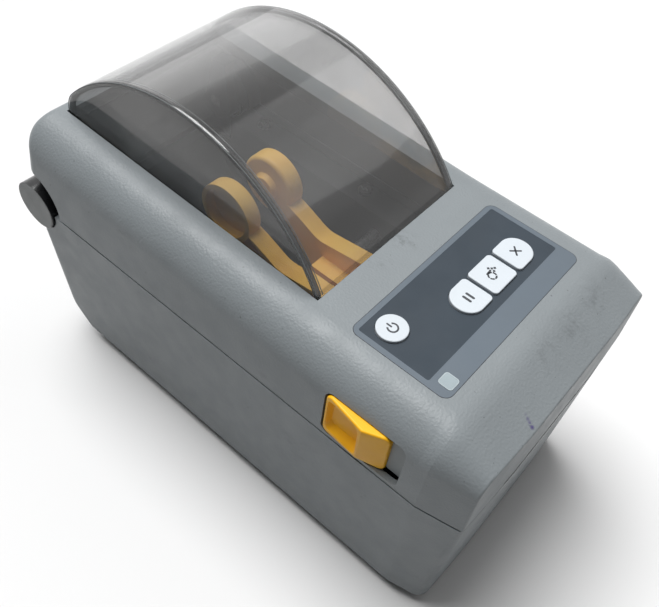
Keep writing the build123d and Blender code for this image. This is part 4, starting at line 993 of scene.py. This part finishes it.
@dataclass
class Studio:
    """Camera at the photograph's viewpoint, soft lamps, world and floor."""

    camera_place: Triple = (-169.628, -124.813, 309.970)
    right: Triple = (0.64690905, -0.75685952, 0.09312549)
    up: Triple = (0.55510819, 0.55112087, 0.62299333)
    back: Triple = (-0.52284183, -0.3513253, 0.77666399)
    focal_px: float = 787.218
    centre_px: Point = (331.018, 306.195)
    sensor_width: float = 36.0
    nearest: float = 0.01
    farthest: float = 20.0
    floor_shade: float = 0.80
    floor_bounce: float = 0.32
    floor_reach: float = 3.0
    world_level: float = 0.07
    aim: Triple = (0.0, 0.0, 0.1)

    def camera(self) -> None:
        """Make the scene's camera."""
        data = bpy.data.cameras.new("photo_camera")
        data.sensor_width = self.sensor_width
        data.lens = self.focal_px * data.sensor_width / PHOTO_WIDTH
        data.shift_x = (PHOTO_WIDTH / 2 - self.centre_px[0]) / PHOTO_WIDTH
        data.shift_y = (self.centre_px[1] - PHOTO_HEIGHT / 2) / PHOTO_WIDTH
        data.clip_start = self.nearest
        data.clip_end = self.farthest
        made = bpy.data.objects.new("photo_camera", data)
        bpy.context.scene.collection.objects.link(made)
        turn = Matrix((self.right, self.up, self.back)).transposed().to_4x4()
        place = Vector(self.camera_place) * MM
        made.matrix_world = Matrix.Translation(place) @ turn
        bpy.context.scene.camera = made

    def lamp(self, name: str, place: Triple, size: float, power: float) -> None:
        """Add a soft square lamp that faces the object.

        Args:
            name: The lamp's name.
            place: Its place in metres.
            size: Its width in metres.
            power: Its power in watts.
        """
        data = bpy.data.lights.new(name, "AREA")
        data.shape = "SQUARE"
        data.size = size
        data.energy = power
        made = bpy.data.objects.new(name, data)
        made.location = place
        facing = Vector(self.aim) - Vector(place)
        made.rotation_mode = "QUATERNION"
        made.rotation_quaternion = facing.to_track_quat("-Z", "Y")
        bpy.context.scene.collection.objects.link(made)

    def sun(self, name: str, source: Triple, spread: float, strength: float) -> None:
        """Add a soft far lamp.

        Args:
            name: The lamp's name.
            source: The direction it shines from.
            spread: Its width as seen from the object, in degrees.
            strength: Its strength in watts per square metre.
        """
        data = bpy.data.lights.new(name, "SUN")
        data.angle = math.radians(spread)
        data.energy = strength
        made = bpy.data.objects.new(name, data)
        made.rotation_mode = "QUATERNION"
        made.rotation_quaternion = (-Vector(source)).to_track_quat("-Z", "Y")
        bpy.context.scene.collection.objects.link(made)

    def world(self) -> None:
        """Light everything evenly, and show white behind the object."""
        world = bpy.data.worlds.new("studio_world")
        world.use_nodes = True
        tree = world.node_tree
        background = tree.nodes["Background"]
        level = tree.nodes.new("ShaderNodeMapRange")
        level.inputs["To Min"].default_value = self.world_level
        level.inputs["To Max"].default_value = 1.0
        tree.links.new(seen_directly(tree), level.inputs["Value"])
        tree.links.new(level.outputs["Result"], background.inputs["Strength"])
        background.inputs["Color"].default_value = (1.0, 1.0, 1.0, 1.0)
        bpy.context.scene.world = world

    def floor(self) -> None:
        """Lay a plain pale floor."""
        data = bpy.data.meshes.new("floor")
        reach = self.floor_reach
        data.from_pydata([(-reach, -reach, 0), (reach, -reach, 0), (reach, reach, 0),
                          (-reach, reach, 0)], [], [(0, 1, 2, 3)])
        shade = Shader("floor_pale")
        bounced, shown = ((level, level, level, 1.0)
                          for level in (self.floor_bounce, self.floor_shade))
        shade.set(Base_Color=shade.blend(seen_directly(shade.tree), bounced, shown))
        shade.set(Roughness=0.9)
        data.materials.append(shade.material)
        made = bpy.data.objects.new("floor", data)
        bpy.context.scene.collection.objects.link(made)

    def build(self) -> None:
        """Set up camera, lamps, world and floor."""
        bpy.context.scene.view_settings.view_transform = "Standard"
        self.camera()
        self.world()
        self.floor()
        self.sun("top_lamp", source=(0.02, 0.36, 0.93), spread=38.0, strength=3.6)
        self.lamp("rear_lamp", place=(0.66, 0.88, 0.52), size=0.6, power=0.8)
        self.lamp("front_lamp", place=(0.66, -0.20, 1.12), size=1.1, power=3.0)
        log.info("studio ready")


@dataclass
class CastParts:
    """The CAD solids, each given the finish of its material slot."""

    frame: dict[str, Any]

    def _finish(self, node: str, slot: str) -> Finish:
        """Choose a node's finish.

        Args:
            node: The node's name.
            slot: Its slot in the record.

        Returns:
            The finish.
        """
        return NODE_FINISHES.get(node, SLOTS[slot])

    def dress(self) -> None:
        """Put a finish on every CAD solid."""
        for part in self.frame["record"]["subparts"]:
            node = part["node"]
            solid = self.frame["nodes"][node]
            finish = self._finish(node, part["material_slot"])
            if not solid.material_slots:
                solid.data.materials.append(None)
            for place in solid.material_slots:
                place.material = finish.material()


@dataclass
class HeadSprings:
    """The printhead's two coil springs, which the head tips up against; a fixed copy rides on the
    cover.
    """

    frame: dict[str, Any]
    node: str = "head_springs"
    upper_seat: Triple = (0.0, -0.093, 0.097)
    travel: float = 1.75 * MM

    def build(self) -> None:
        """Stand a copy in for the CAD springs and hang it on the cover."""
        solid = self.frame["nodes"][self.node]
        coils = bpy.data.objects.new("head_spring_coils", solid.data.copy())
        bpy.context.scene.collection.objects.link(coils)
        coils.matrix_world = solid.matrix_world.copy()
        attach(coils, "cover")
        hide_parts(self.node)
        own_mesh(coils)
        log.info("springs shorten with the printhead")


def main() -> None:
    """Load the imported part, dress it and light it."""
    logging.basicConfig(level=logging.INFO, format="%(name)s: %(message)s")
    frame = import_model()
    CastParts(frame).dress()
    HeadSprings(frame).build()
    SignedKeys().build()
    PanelTrim().build()
    WindowEdges().build()
    Studio().build()


if __name__ == "__main__":
    main()
